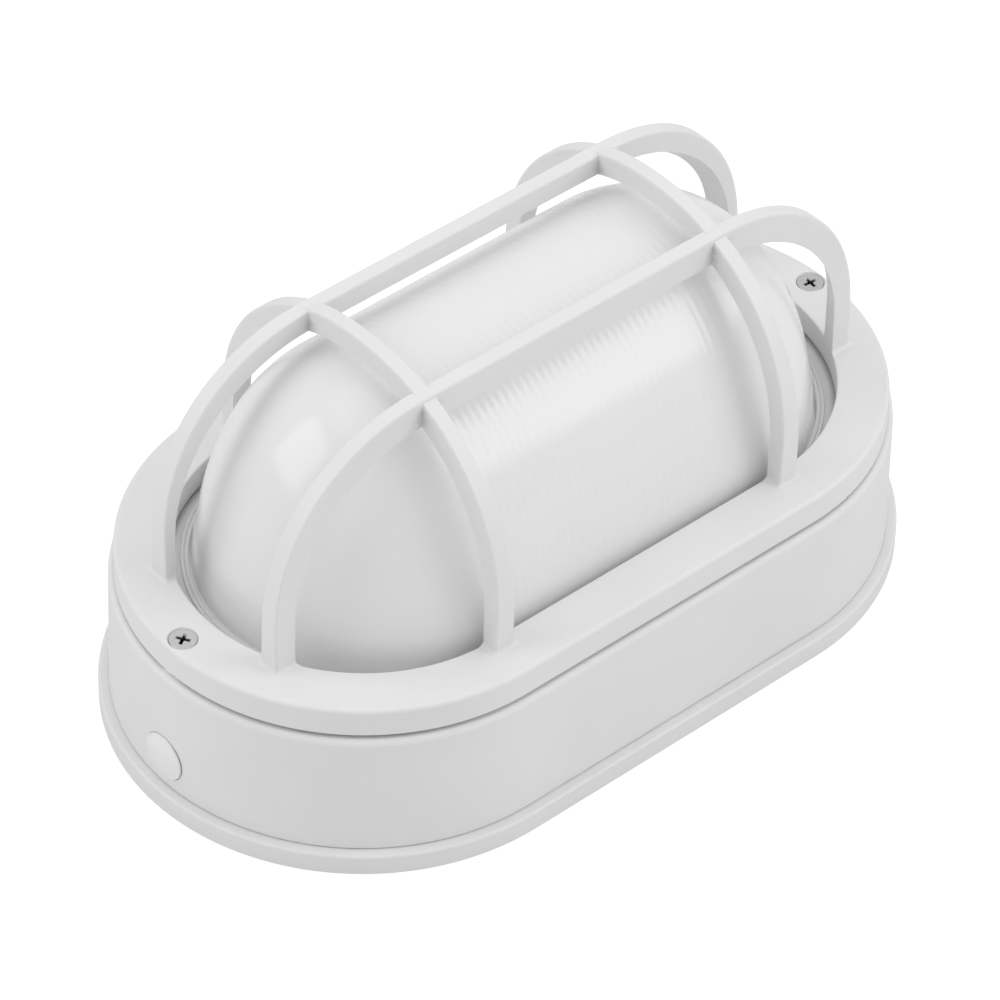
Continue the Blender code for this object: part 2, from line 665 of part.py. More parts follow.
def make_diffuser_gasket(finish):
    piece("diffuser_gasket", oval_band(HOLE_R + CLEAR, FLANGE_R, GASKET_Z, GASKET_Z + GASKET_T), finish)


def cross_recess(target, top):
    """Cuts the four-lobed driver recess."""
    half_l = CROSS_L / 2
    half_w = CROSS_W / 2
    for long_x, long_y in ((half_l, half_w), (half_w, half_l)):
        cut(target, block((-long_x, -long_y, top - CROSS_DEPTH), (long_x, long_y, top + CLEAR)))


def make_cover_screws(finish, insert_finish):
    """Two countersunk screws and the threaded inserts that they pull on."""
    top = COVER_TOP - HEAD_SINK
    shoulder = top - COVER_HEAD_H
    tip = top - COVER_SCREW_L
    profile = [(0, tip), (COVER_SCREW_R * 0.6, tip), (COVER_SCREW_R, tip + COVER_SCREW_R)]
    profile += [(COVER_SCREW_R, shoulder), (COVER_HEAD_R, top), (0, top)]
    inner = COVER_SCREW_R + CLEAR
    high = BOSS_TOP - CLEAR
    for end, side in ENDS.items():
        screw = piece(f"cover_screw_{end}", turned(profile), finish, (side * SCREW_X, 0, 0))
        cross_recess(screw, top)
        insert = tube(inner, inner + INSERT_WALL, high - INSERT_L, high)
        piece(f"cover_insert_{end}", insert, insert_finish, (side * SCREW_X, 0, 0))


def pan_screw(shank_r, head_r, length, head_h):
    """A pan head screw whose head rests on z = 0 and whose shank points down."""
    rim = head_h * 0.6
    profile = [(0, -length), (shank_r * 0.6, -length), (shank_r, shank_r - length), (shank_r, 0)]
    profile += [(head_r, 0), (head_r, rim), (head_r * 0.7, head_h), (0, head_h)]
    return turned(profile, SCREW_STEPS)


def make_body_screws(finish):
    """Four screws that hold the housing to the back plate."""
    length = FLOOR_Z + CLEAR - BODY_SCREW_TIP
    for number, (x, y) in enumerate(QUARTERS, 1):
        centre = (x * (SPAN + BODY_SCREW_X), y * BODY_SCREW_Y, FLOOR_Z + CLEAR)
        screw = pan_screw(BODY_SCREW_R, BODY_HEAD_R, length, PAN_HEAD_H)
        piece(f"housing_screw_{number}", screw, finish, centre)


def make_blanking_plug(finish):
    """The domed plug in the end wall's cable entry."""
    seat = CLEAR
    barb_r = PLUG_STEM_R + PLUG_BARB
    wall_sag = WALL_FOOT_R - math.sqrt(WALL_FOOT_R**2 - barb_r**2)
    barb_front = WALL_T - SPOT_DEPTH + wall_sag + 2 * CLEAR
    barb_back = barb_front + 2 * PLUG_BARB
    tail = barb_back + PLUG_BARB
    hollow_r = PLUG_STEM_R - PLUG_WALL
    crown = [(0, seat + PLUG_CROWN), (PLUG_R * 0.5, seat + PLUG_CROWN * 0.86), (PLUG_R * 0.85, seat + PLUG_CROWN * 0.58)]
    crown += [(PLUG_R, seat + PLUG_RIM * 0.6), (PLUG_R, seat)]
    stem = [(PLUG_STEM_R, seat), (PLUG_STEM_R, -barb_front), (barb_r, -barb_front)]
    stem += [(barb_r, -barb_back), (PLUG_STEM_R, -tail), (hollow_r, -tail)]
    stem += [(hollow_r, 0), (0, 0)]
    plug = turned_to(turned(crown + stem), (-1, 0, 0))
    piece("blanking_plug", plug, finish, (PLUG_FACE_X, 0, PLUG_Z))


def make_cable_grommet(finish):
    """The rubber grommet in the floor, closed by a skin that the cable is pushed through."""
    flange_r = GROMMET_R + GROMMET_FLANGE
    low = BODY_Z - CLEAR - GROMMET_FLANGE
    high = FLOOR_Z + CLEAR + GROMMET_FLANGE
    skin = (BODY_Z + FLOOR_Z) / 2
    profile = [(0, skin), (GROMMET_MOUTH_R * 0.7, skin), (GROMMET_MOUTH_R, low), (flange_r, low)]
    profile += [(flange_r, BODY_Z - CLEAR), (GROMMET_R, BODY_Z - CLEAR), (GROMMET_R, FLOOR_Z + CLEAR)]
    profile += [(flange_r, FLOOR_Z + CLEAR), (GROMMET_MOUTH_R + CLEAR, high)]
    profile += [(GROMMET_MOUTH_R * 0.7, skin + GROMMET_SKIN), (0, skin + GROMMET_SKIN)]
    piece("cable_grommet", turned(profile), finish, GROMMET_AT)


def make_lampholder(body_finish, metal_finish, screw_finish):
    """The holder on its steel bracket, with the threaded shell and the centre contact."""
    body = tube_with_floor(HOLDER_R, SHELL_R + CLEAR, HOLDER_L, HOLDER_BACK)
    holder = piece("lampholder_body", turned_to(body, (1, 0, 0)), body_finish, (HOLDER_X, 0, AXIS_Z))
    for side in (-1, 1):
        hole = turned_to(rod(SMALL_SCREW_R + CLEAR, -CLEAR, HOLDER_SCREW_BITE + CLEAR), (1, 0, 0))
        cut(holder, moved(hole, (0, side * HOLDER_SCREW_Y, 0)))
        port = turned_to(rod(WIRE_R + CLEAR, HOLDER_R - WIRE_PORT_DEPTH * 2, HOLDER_R + CLEAR), (0, 1, 0))
        cut(holder, moved(port, (WIRE_PORT_X, 0, side * WIRE_PORT_Z)))
    shell = turned_to(tube(CAP_R + CLEAR, SHELL_R, 0, SHELL_L), (1, 0, 0))
    piece("lampholder_shell", shell, metal_finish, (CONTACT_X, 0, AXIS_Z))
    make_centre_contact(metal_finish)
    make_bracket(screw_finish)
    for number, side in enumerate((-1, 1), 1):
        screw = pan_screw(SMALL_SCREW_R, SMALL_HEAD_R, HOLDER_SCREW_BITE + BRACKET_T + CLEAR, PAN_HEAD_H)
        place = (BRACKET_X - CLEAR, side * HOLDER_SCREW_Y, AXIS_Z)
        piece(f"holder_screw_{number}", turned_to(screw, (-1, 0, 0)), screw_finish, place)
        screw = pan_screw(SMALL_SCREW_R, SMALL_HEAD_R, BRACKET_T + SMALL_SCREW_BITE, PAN_HEAD_H)
        place = (BRACKET_X + BRACKET_SCREW_X, side * BRACKET_SCREW_Y, SEAT_Z + BRACKET_T + CLEAR)
        piece(f"bracket_screw_{number}", screw, screw_finish, place)


def tube_with_floor(outer, inner, length, floor):
    """A turned cup that stands on z = 0, with a collar at its mouth and a waist behind it."""
    collar = length * 0.3
    waist = outer - 1.5 * MM
    profile = [(0, 0), (outer, 0), (outer, floor), (waist, floor + 1.5 * MM), (waist, length - collar)]
    profile += [(outer, length - collar + 1.5 * MM), (outer, length), (inner, length), (inner, floor), (0, floor)]
    return turned(profile)


def make_centre_contact(finish):
    """A springy strip that leans from the holder's floor to the tip of the lamp."""
    lift = CONTACT_RISE
    path = [(0.0, -CAP_R * 0.7), (0.0, -CAP_R * 0.2), (lift - CONTACT_T, CAP_R * 0.1), (lift - CONTACT_T, CAP_R * 0.4)]
    rings = []
    for depth, along in path:
        ring = []
        for across, thick in ((-1, 0), (1, 0), (1, 1), (-1, 1)):
            ring.append((depth + thick * CONTACT_T, along, across * CONTACT_W / 2))
        rings.append(ring)
    piece("centre_contact", lofted(rings), finish, (CONTACT_X, 0, AXIS_Z))


def make_bracket(finish):
    """A bent steel strip: its foot on two posts, its upright behind the holder."""
    half = BRACKET_W / 2
    crown = AXIS_Z + BRACKET_CROWN
    bend = BRACKET_T
    outline = [(0, SEAT_Z + bend), (0, crown), (BRACKET_T, crown), (BRACKET_T, SEAT_Z + BRACKET_T + bend / 2)]
    outline += [(BRACKET_T + bend / 2, SEAT_Z + BRACKET_T), (BRACKET_FOOT, SEAT_Z + BRACKET_T)]
    outline += [(BRACKET_FOOT, SEAT_Z), (bend, SEAT_Z), (bend * 0.3, SEAT_Z + bend * 0.3)]
    rings = [[(x, y, z) for x, z in outline] for y in (-half, half)]
    bracket = piece("lampholder_bracket", lofted(rings), finish, (BRACKET_X, 0, 0))
    for side in (-1, 1):
        hole = turned_to(rod(SMALL_SCREW_R + CLEAR, -CLEAR, BRACKET_T + CLEAR), (1, 0, 0))
        cut(bracket, moved(hole, (0, side * HOLDER_SCREW_Y, AXIS_Z)))
        low = SEAT_Z - CLEAR
        high = SEAT_Z + BRACKET_T + CLEAR
        cut(bracket, moved(rod(SMALL_SCREW_R + CLEAR, low, high), (BRACKET_SCREW_X, side * BRACKET_SCREW_Y, 0)))


def make_lamp(finish):
    """The lamp: a screw cap, a neck and a pear-shaped bulb, sealed as one body."""
    centre = BULB_L - BULB_R
    profile = [(0, 0), (CAP_R * 0.35, 0), (CAP_R * 0.45, 2 * MM), (CAP_R * 0.8, 3.5 * MM), (CAP_R, 6 * MM), (CAP_R, CAP_L)]
    neck_r = CAP_R * 1.02
    neck_end = CAP_L + 6 * MM
    shoulder = math.radians(-40)
    shoulder_z = centre + BULB_R * math.sin(shoulder)
    shoulder_r = BULB_R * math.cos(shoulder)
    for step in range(5):
        blend = step / 4
        ease = blend * blend * (3 - 2 * blend)
        profile.append((neck_r + (shoulder_r * 0.93 - neck_r) * ease, neck_end + (shoulder_z - 3 * MM - neck_end) * blend))
    for step in range(9):
        angle = shoulder + (math.pi / 2 - shoulder) * step / 8
        profile.append((BULB_R * math.cos(angle) if step < 8 else 0, centre + BULB_R * math.sin(angle)))
    piece("lamp", turned_to(turned(profile), (1, 0, 0)), finish, (CAP_X, 0, AXIS_Z))


def make_reflector(finish, screw_finish):
    """A thin pan under the lamp, with its long edges turned up."""
    start, end = reflector_ends()
    half = HOLE_R - REFLECTOR_SIDE_GAP
    flat = half - REFLECTOR_WING
    line = [(-half, REFLECTOR_RISE), (-flat, 0), (flat, 0), (half, REFLECTOR_RISE)]
    outline = [(y, SEAT_Z + z) for y, z in line] + [(y, SEAT_Z + z + REFLECTOR_T) for y, z in reversed(line)]
    pan = piece("reflector", lofted([[(x, y, z) for y, z in outline] for x in (start, end)]), finish)
    length = REFLECTOR_T + SMALL_SCREW_BITE
    for number, x in enumerate(reflector_screws(), 1):
        low = SEAT_Z - CLEAR
        high = SEAT_Z + REFLECTOR_T + CLEAR
        cut(pan, moved(rod(SMALL_SCREW_R + CLEAR, low, high), (x, 0, 0)))
        screw = pan_screw(SMALL_SCREW_R, SMALL_HEAD_R, length, PAN_HEAD_H)
        piece(f"reflector_screw_{number}", screw, screw_finish, (x, 0, high))


def make_terminal_block(finish, brass_finish, screw_finish):
    """A terminal strip with a brass tube and two clamp screws in each way."""
    half_l = BLOCK_L / 2
    half_w = BLOCK_W / 2
    body = piece("terminal_block", block((-half_l, -half_w, 0), (half_l, half_w, BLOCK_H)), finish, BLOCK_CENTRE)
    screw_top = BLOCK_H - CLEAR
    for side in (-1, 1):
        x = side * WAY_PITCH / 2
        half_slit = BLOCK_SLIT_W / 2
        slit = block((x - half_slit, -BLOCK_W, BLOCK_H - BLOCK_SLIT_H), (x + half_slit, BLOCK_W, BLOCK_H + CLEAR))
        cut(body, slit)
        cut(body, moved(rod(SMALL_SCREW_R + CLEAR, -CLEAR, BLOCK_H), (x, 0, 0)))
        length = BLOCK_H - BLOCK_SLIT_H + SMALL_SCREW_BITE
        screw = pan_screw(SMALL_SCREW_R, half_slit - CLEAR, length, PAN_HEAD_H)
        place = BLOCK_CENTRE + Vector((x, 0, BLOCK_H - BLOCK_SLIT_H + CLEAR))
        piece(f"block_screw_{1 if side < 0 else 2}", screw, screw_finish, place)
    for way in range(WAYS):
        x = (way - (WAYS - 1) / 2) * WAY_PITCH
        bore = turned_to(rod(TUBE_R + CLEAR, -BLOCK_W, BLOCK_W), (0, 1, 0))
        cut(body, moved(bore, (x, 0, TUBE_Z)))
        barrel = turned_to(tube(TUBE_BORE_R, TUBE_R, -TUBE_L / 2, TUBE_L / 2, SCREW_STEPS), (0, 1, 0))
        brass = piece(f"terminal_tube_{way + 1}", moved(barrel, (x, 0, TUBE_Z)), brass_finish, BLOCK_CENTRE)
        for count, y in enumerate((-CLAMP_SCREW_Y, CLAMP_SCREW_Y), 1):
            cut(body, moved(rod(CLAMP_SCREW_R + CLEAR, TUBE_Z, BLOCK_H + CLEAR), (x, y, 0)))
            cut(brass, moved(rod(CLAMP_SCREW_R + CLEAR, TUBE_Z, BLOCK_H), (x, y, 0)))
            clamp = rod(CLAMP_SCREW_R, screw_top - CLAMP_SCREW_L, screw_top)
            place = BLOCK_CENTRE + Vector((x, y, 0))
            piece(f"clamp_screw_{way + 1}_{count}", clamp, screw_finish, place)


def make_wires(finishes):
    """The two insulated leads from the terminal block to the side of the holder."""
    inside = Vector((0, WIRE_PORT_DEPTH + WIRE_R, 0))
    for number, (way, side, name) in enumerate(((0, -1, "neutral"), (1, 1, "live"))):
        x = BLOCK_CENTRE.x + (way - (WAYS - 1) / 2) * WAY_PITCH
        start = Vector((x, BLOCK_CENTRE.y - BLOCK_W / 2 - WIRE_R, SEAT_Z + TUBE_Z))
        finish = Vector((HOLDER_X + WIRE_PORT_X, HOLDER_R + WIRE_R, AXIS_Z + side * WIRE_PORT_Z))
        lead = Vector((0, (start - finish).length * WIRE_SLACK, 0))
        points = [start + inside]
        for step in range(WIRE_STEPS + 1):
            t = step / WIRE_STEPS
            weights = ((1 - t) ** 3, 3 * t * (1 - t) ** 2, 3 * t * t * (1 - t), t**3)
            guides = (start, start - lead, finish + lead, finish)
            points.append(sum((w * p for w, p in zip(weights, guides)), Vector()))
        points.append(finish - inside)
        make_wire(f"wire_{name}", points, finishes[number])


def make_wire(name, points, finish):
    curve = bpy.data.curves.new(name, "CURVE")
    curve.dimensions = "3D"
    curve.bevel_depth = WIRE_R
    curve.bevel_resolution = 1
    curve.use_fill_caps = True
    spline = curve.splines.new("POLY")
    spline.points.add(len(points) - 1)
    for target, point in zip(spline.points, points):
        target.co = (*point, 1.0)
    curve.materials.append(finish)
    bpy.context.scene.collection.objects.link(bpy.data.objects.new(name, curve))


def main():
    clear_scene()
    shell = material("white_shell_plastic", (0.72, 0.72, 0.71), 0.42)
    opal = material("opal_diffuser_plastic", (0.80, 0.80, 0.79), 0.16)
    plug = material("white_plug_plastic", (0.82, 0.82, 0.81), 0.25)
    rubber = material("seal_rubber", (0.10, 0.10, 0.10), 0.75)
    steel = material("plated_steel", (0.56, 0.56, 0.55), 0.35, 1.0)
    brass = material("terminal_brass", (0.78, 0.60, 0.30), 0.35, 1.0)
    ceramic = material("holder_ceramic", (0.86, 0.84, 0.79), 0.30)
    aluminium = material("reflector_aluminium", (0.83, 0.84, 0.85), 0.22, 1.0)
    nylon = material("terminal_nylon", (0.80, 0.78, 0.72), 0.50)
    lamp_glass = material("lamp_opal_glass", (0.92, 0.92, 0.90), 0.15)
    blue = material("neutral_insulation", (0.05, 0.16, 0.50), 0.45)
    brown = material("live_insulation", (0.22, 0.09, 0.04), 0.45)
    make_back_plate(shell)
    make_back_seal(rubber)
    make_housing(shell)
    make_cage_cover(shell)
    make_diffuser(opal)
    make_diffuser_gasket(rubber)
    make_cover_screws(steel, brass)
    make_body_screws(steel)
    make_blanking_plug(plug)
    make_cable_grommet(rubber)
    make_lampholder(ceramic, brass, steel)
    make_lamp(lamp_glass)
    make_reflector(aluminium, steel)
    make_terminal_block(nylon, brass, steel)
    make_wires((blue, brown))


main()
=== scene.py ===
"""Oval bulkhead light with a guard: the dressed model over its CAD frame, an add-on that is run as a script.

Everything is in metres, +Z points away from the wall, and the long axis is X.
"""

import math

import bmesh
import bpy
from bpy.props import FloatProperty, FloatVectorProperty, IntProperty, PointerProperty
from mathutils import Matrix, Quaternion, Vector


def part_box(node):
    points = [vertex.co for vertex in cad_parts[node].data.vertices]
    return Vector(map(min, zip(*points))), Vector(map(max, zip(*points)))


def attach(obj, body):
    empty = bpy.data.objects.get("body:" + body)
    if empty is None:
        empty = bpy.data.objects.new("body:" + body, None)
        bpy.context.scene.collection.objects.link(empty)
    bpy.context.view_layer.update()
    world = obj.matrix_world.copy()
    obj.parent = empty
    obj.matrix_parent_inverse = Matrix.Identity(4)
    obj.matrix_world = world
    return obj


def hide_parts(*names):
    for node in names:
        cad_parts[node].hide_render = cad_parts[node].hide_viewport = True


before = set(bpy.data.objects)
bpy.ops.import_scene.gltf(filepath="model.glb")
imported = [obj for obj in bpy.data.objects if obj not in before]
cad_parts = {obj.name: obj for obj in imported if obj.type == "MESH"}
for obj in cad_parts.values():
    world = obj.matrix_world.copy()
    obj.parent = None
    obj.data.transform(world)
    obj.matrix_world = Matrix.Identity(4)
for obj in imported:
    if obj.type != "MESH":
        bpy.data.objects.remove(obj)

bl_info = {
    "name": "Bulkhead light",
    "version": (1, 0, 0),
    "blender": (4, 5, 0),
    "location": "3D View > Sidebar > Bulkhead",
    "description": "Models an oval bulkhead light with a moulded guard over its CAD frame",
    "category": "Object",
}

MM = 0.001
CLEAR = 0.3 * MM
HAIR = CLEAR / 3
FILLET_SINK = CLEAR / 10
CORE_SKIN = CLEAR / 20
MERGE = 0.004 * MM
ENDS = {"left": -1, "right": 1}

# Places that the CAD frame gives
PLATE_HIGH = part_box("back_plate")[1]
HOUSING_LOW, HOUSING_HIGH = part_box("housing")
COVER_LOW, COVER_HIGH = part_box("cage_cover")
DIFFUSER_LOW, DIFFUSER_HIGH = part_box("diffuser")
GASKET_LOW, GASKET_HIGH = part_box("diffuser_gasket")
SCREW_LOW, SCREW_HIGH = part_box("cover_screw_right")
PLUG_LOW, PLUG_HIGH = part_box("blanking_plug")
GROMMET_LOW, GROMMET_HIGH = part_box("cable_grommet")
SEAL_LOW, SEAL_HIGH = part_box("back_seal")
BODY_SCREWS = [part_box(f"housing_screw_{number}") for number in (1, 2, 3, 4)]

SPAN = PLATE_HIGH.x - PLATE_HIGH.y
SCREW_X = (SCREW_LOW.x + SCREW_HIGH.x) / 2
PLUG_Z = (PLUG_LOW.z + PLUG_HIGH.z) / 2
GROMMET_AT = (GROMMET_LOW + GROMMET_HIGH) / 2
GROMMET_R = (GROMMET_HIGH.x - GROMMET_LOW.x) / 2

# Steps of the round shapes
ARC_STEPS = 64
TURN_STEPS = 64
EDGE_STEPS = 6
DOME_STEPS = 48
PLUG_STEPS = 20
PLUG_EDGE_STEPS = 4
RIB_PHASES = 6

# Hidden details behind the plate and in the housing, as in the CAD frame. A slot lies along X (0) or Y (1)
PLATE_RIB_Y = 22.0 * MM
PLATE_RIB_X = 30.0 * MM
PLATE_PAD = 24.0 * MM
SLOTS = ((0, -1), (1, 1))
SLOT_OFFSET = 18.2 * MM
SLOT_W = 5.0 * MM
SLOT_L = 12.0 * MM
SLOT_PAD = 5.0 * MM
SLOT_SINK = 2.0 * MM
SEAL_W = 2.0 * MM
FLANGE_GRIP = 3.2 * MM
UPSTAND_DROP = 0.9 * MM
BOSS_R = 4.4 * MM
BOSS_TAIL = 0.25
INSERT_BELOW = 7.1 * MM
POST_R = 4.0 * MM
POST_H = 2.0 * MM
POST_SCREWS = [f"{part}_screw_{number}" for part in ("bracket", "reflector", "block") for number in (1, 2)]
GROMMET_FLANGE = 2.0 * MM

# Small edges, and the way each cover screw was left turned
SKIRT_EDGE = 0.3 * MM
SCREW_RIM = 0.12 * MM
SCREW_TIP = 0.6
BLADE_TAPER = (0.35, 0.6, 1)
CROSS_TURNS = {-1: math.radians(-31), 1: math.radians(6)}
PLUG_RIM = 0.35 * MM
PLUG_EDGE = 0.25 * MM
PLUG_EDGE_DROP = 0.1 * MM

# Steepest turn between two faces that is shaded smooth, in degrees
SMOOTH_ANGLE = 28
SMOOTH_BOWL = 35
SMOOTH_PLUG = 40

# Grain and cloudiness of the finishes: noise scales are per metre
CLOUD_SCALE = 55.0
CLOUD_DETAIL = 3.0
CLOUD_RANGE = (0.3, 0.7)
SMEAR_SCALE = 130.0
SMEAR_DETAIL = 4.0
GRAIN_DETAIL = 2.0
SKIN_UNEVENNESS = 0.06
SKIN_DEPTH = 0.1 * MM
SHELL_GRAIN = 2600.0
OPAL_GRAIN = 900.0
PLUG_GRAIN = 1800.0
METAL_GRAIN = 5200.0
GLOSSY_RELIEF = 0.01
GLOSSY_MOTTLE = 0.006
METAL_MOTTLE = 0.05
STEEL_RELIEF = 0.05
STEEL_ROUGHNESS = 0.5
PLASTIC_IOR = 1.46
OPAL_IOR = 1.49

# Dust in the corners where the bars cross: the crossing on the +X, +Y side, the others mirror it
CROSSING = (43.2 * MM, 19.5 * MM, 98.5 * MM)
CROSSING_HALF = 2.0 * MM
DUST_COLOUR = (0.22, 0.21, 0.20)
DUST_REACH = 3.2 * MM
DUST_DROOP = 0.15
DUST_LOW = 1.8 * MM
DUST_HIGH = 3.6 * MM
DUST_STRENGTH = 0.32
GRIT_SCALE = 2000.0
GRIT_DETAIL = 3.0
GRIT_HEAP = 0.5
GRIT_FROM = 0.62
GRIT_TO = 1.15

# Shade where the light hardly gets in
HOLE_FOOT_PAINTED_SHADE_COLOUR = (0.34, 0.34, 0.34)
HOLE_FOOT_H = 1.6 * MM
HOLE_FOOT_SHADE = 0.35
FLANGE_PAINTED_SHADE_COLOUR = (0.20, 0.20, 0.20)
FLANGE_SHADE_W = 1.6 * MM
FLANGE_SHADE = 0.5
RECESS_PAINTED_SHADE_COLOUR = (0.03, 0.03, 0.03)
RECESS_DEEP = 0.9 * MM
RECESS_EDGE = 0.02 * MM

# Finishes of what is inside: name, colour, roughness, grain, relief, mottle and metallic
INNER_FINISHES = {
    "seal_rubber": ("Seal rubber", (0.045, 0.045, 0.047), 0.62, 1500.0, 0.12, 0.10),
    "terminal_brass": ("Terminal brass", (0.78, 0.56, 0.26), 0.32, METAL_GRAIN, 0.04, METAL_MOTTLE, 1.0),
    "holder_ceramic": ("Holder ceramic", (0.82, 0.80, 0.76), 0.22, 700.0, 0.02, 0.02),
    "reflector_aluminium": (
        "Reflector aluminium", (0.86, 0.87, 0.88), 0.24, METAL_GRAIN, 0.03, METAL_MOTTLE, 1.0,
    ),
    "terminal_nylon": ("Terminal nylon", (0.74, 0.73, 0.70), 0.42, 1400.0, 0.04, 0.02),
    "lamp_opal_glass": ("Lamp glass", (0.86, 0.86, 0.84), 0.12, 300.0, 0.0, 0.004),
    "neutral_insulation": ("Neutral insulation", (0.02, 0.09, 0.36), 0.40, 1200.0, 0.03, 0.03),
    "live_insulation": ("Live insulation", (0.15, 0.05, 0.02), 0.40, 1200.0, 0.03, 0.03),
}

# The stage. A softbox stands at an azimuth (0 is -Y, 90 is +X), an elevation in degrees and a distance
MIDDLE = Vector((0.0, 0.0, 0.06))
OVERHEAD_AT = (0.1, 0.1, 1.6)
OVERHEAD_SIZE = (1.8, 1.4)
RIGHT_BOX = (41, 33, 1.5)
RIGHT_BOX_SIZE = (0.85, 0.80)
LEFT_BOX = (-120, 32, 1.5)
LEFT_BOX_SIZE = (0.85, 0.90)
FLOOR_SIZE = 8.0
FLOOR_ROUGHNESS = 0.9
FLOOR_GLOW_STRENGTH = 1.35
SENSOR_W = 36.0
CAMERA_NEAR = 0.01
CAMERA_FAR = 50.0
WHITE = (1.0, 1.0, 1.0, 1.0)


def length(name, value, text):
    return FloatProperty(name=name, description=text, default=value * MM, min=0.0, precision=5, unit="LENGTH")


def colour(name, value, text):
    return FloatVectorProperty(
        name=name, description=text, default=value, min=0.0, max=1.0, size=3, subtype="COLOR"
    )


def share(name, value, text, highest=1.0):
    return FloatProperty(name=name, description=text, default=value, min=0.0, max=highest, precision=3)


def exponent(name, value, text):
    text = f"{text}; 2 is a true ellipse"
    return FloatProperty(name=name, description=text, default=value, min=1.5, max=4.0)


def place_in_space(name, value, text):
    return FloatVectorProperty(name=name, description=text, default=value, size=3, unit="LENGTH")


class BulkheadBodySizes(bpy.types.PropertyGroup):
    """Sizes of the back plate and the housing."""

    wall: length("Wall", 2.4, "Thickness of the housing's wall")
    wall_round: length("Wall edge", 1.5, "Rounding of the housing's top edge")
    wall_top: length("Wall top", 38.7, "Height of the housing's top edge above the wall plane")
    floor: length("Floor", 2.6, "Thickness of the housing's floor")
    draft: length("Draft", 0.55, "How far the housing's wall leans in from foot to top")
    shelf: length("Shelf", 2.5, "Thickness of the gasket's shelf")
    upstand: length("Upstand", 1.5, "Thickness of the upstand round the gasket")
    plate_edge: length("Plate edge", 0.7, "Rounding of the back plate's front edge")
    plate_rim: length("Plate rim", 3.2, "Width of the rim behind the back plate")
    plate_pocket: length("Plate pocket", 2.9, "Depth of the hollow behind the back plate")
    plate_rib: length("Plate rib", 2.0, "Width of the ribs behind the back plate")


class BulkheadGuardSizes(bpy.types.PropertyGroup):
    """Sizes of the cover and the guard that is moulded with it."""

    top: length("Cover top", 47.1, "Height of the cover's flat top face")
    skirt_z: length("Skirt foot", 39.6, "Height of the foot of the cover's skirt")
    skirt: length("Skirt", 2.4, "Thickness of the cover's skirt")
    plate: length("Top wall", 2.8, "Thickness of the cover's top")
    lip: length("Lip", 6.9, "How far the hole's wall reaches down")
    edge: length("Cover edge", 1.1, "Rounding of the cover's outer top edge")
    hole: length("Hole radius", 44.4, "Radius of the hole's ends")
    hole_edge: length("Hole edge", 0.45, "Rounding of the hole's top edge")
    hole_foot: length("Hole foot", 0.6, "Rounding of the hole wall's lower edge")
    core_draft: length("Core draft", 0.3, "How far the hole's wall leans in up to the springing line")
    core_rise: length("Core rise", 43.6, "Height of the guard's inner arch above the springing line")
    core_fullness: exponent("Core fullness", 2.06, "Squareness of the inner arch")
    leg: length("Guard leg", 10.4, "Straight length of a bar below its arch")
    arch_fullness: exponent("Arch fullness", 2.16, "Squareness of the hoops' outer arch")
    depth: length("Bar depth", 5.5, "Depth of a bar at its crown, from its outer to its inner face")
    leg_depth: length("Bar leg depth", 4.4, "Depth of a bar at the foot of its arch")
    foot_width: length("Bar foot", 5.6, "Width of a bar where it leaves the cover")
    crown_width: length("Bar crown", 3.9, "Width of a bar at its crown")
    rounding: length("Bar rounding", 0.8, "Rounding of a bar's outer edges")
    fillet: length("Bar fillet", 1.1, "Fillet at the foot of a bar")
    long_y: length("Long bar offset", 19.5, "Distance of a lengthwise bar from the middle")
    long_inset: length("Long bar inset", 0.7, "How far the lengthwise bars' legs stand in")
    cross_inset: length("Cross bar inset", 0.6, "How far the crosswise bars stand in from the end centres")


class BulkheadDiffuserSizes(bpy.types.PropertyGroup):
    """Sizes of the opal bowl."""

    radius: length("Radius", 43.1, "Radius of the bowl's ends")
    span: length("Span", 39.1, "Distance from the middle to an end centre")
    neck: length("Neck", 3.0, "Height above the flange where the bowl's curve starts")
    waist: length("Waist", 25.0, "Height of the middle of the oval that the bowl's section belongs to")
    round_fullness: exponent("Round fullness", 2.2, "Squareness of the bowl's section across")
    rise_fullness: exponent("Rise fullness", 2.4, "Squareness of the bowl's section upwards")
    wall: length("Wall", 2.5, "Thickness of the bowl")
    flange: length("Flange", 2.6, "Thickness of the clamping flange")
    step_width: length("Step width", 2.6, "How far the raised step reaches out at the ends")
    step_height: length("Step height", 0.9, "Height of the raised step")
    bead_width: length("Bead width", 1.8, "Width of the raised rim round the step")
    groove_inset: length("Groove inset", 0.9, "Distance of the groove in the rim from the rim's outer face")
    groove_width: length("Groove width", 0.45, "Width of the groove in the rim")
    groove_depth: length("Groove depth", 0.35, "Depth of the groove in the rim")
    edge: length("Edge", 0.28, "Rounding of the step's and the flange's edges")
    rib_depth: length("Rib depth", 0.05, "Depth of the fine ribs on the straight part")
    ribs: IntProperty(
        name="Ribs", description="Number of fine ribs on the straight part", default=36, min=4, max=90
    )


class BulkheadScrewSizes(bpy.types.PropertyGroup):
    """Sizes of the cover screws and the blanking plug."""

    head_radius: length("Head radius", 3.25, "Radius of a cover screw's head")
    head_height: length("Head height", 1.9, "Height of the countersunk head")
    shank: length("Shank", 1.75, "Radius of a cover screw's shank")
    cross_width: length("Cross width", 0.95, "Width of the driver recess")
    cross_length: length("Cross length", 4.1, "Length of the driver recess")
    cross_depth: length("Cross depth", 1.5, "Depth of the driver recess")
    plug_radius: length("Plug radius", 6.0, "Radius of the blanking plug's domed head")
    plug_gap: length("Plug gap", 0.15, "Gap round the blanking plug's head")
    plug_crown: length("Plug crown", 1.3, "Height of the blanking plug's dome")
    plug_stem: length("Plug stem", 4.6, "Radius of the blanking plug's stem")
    plug_wall: length("Plug wall", 1.4, "Thickness of the hollow stem")


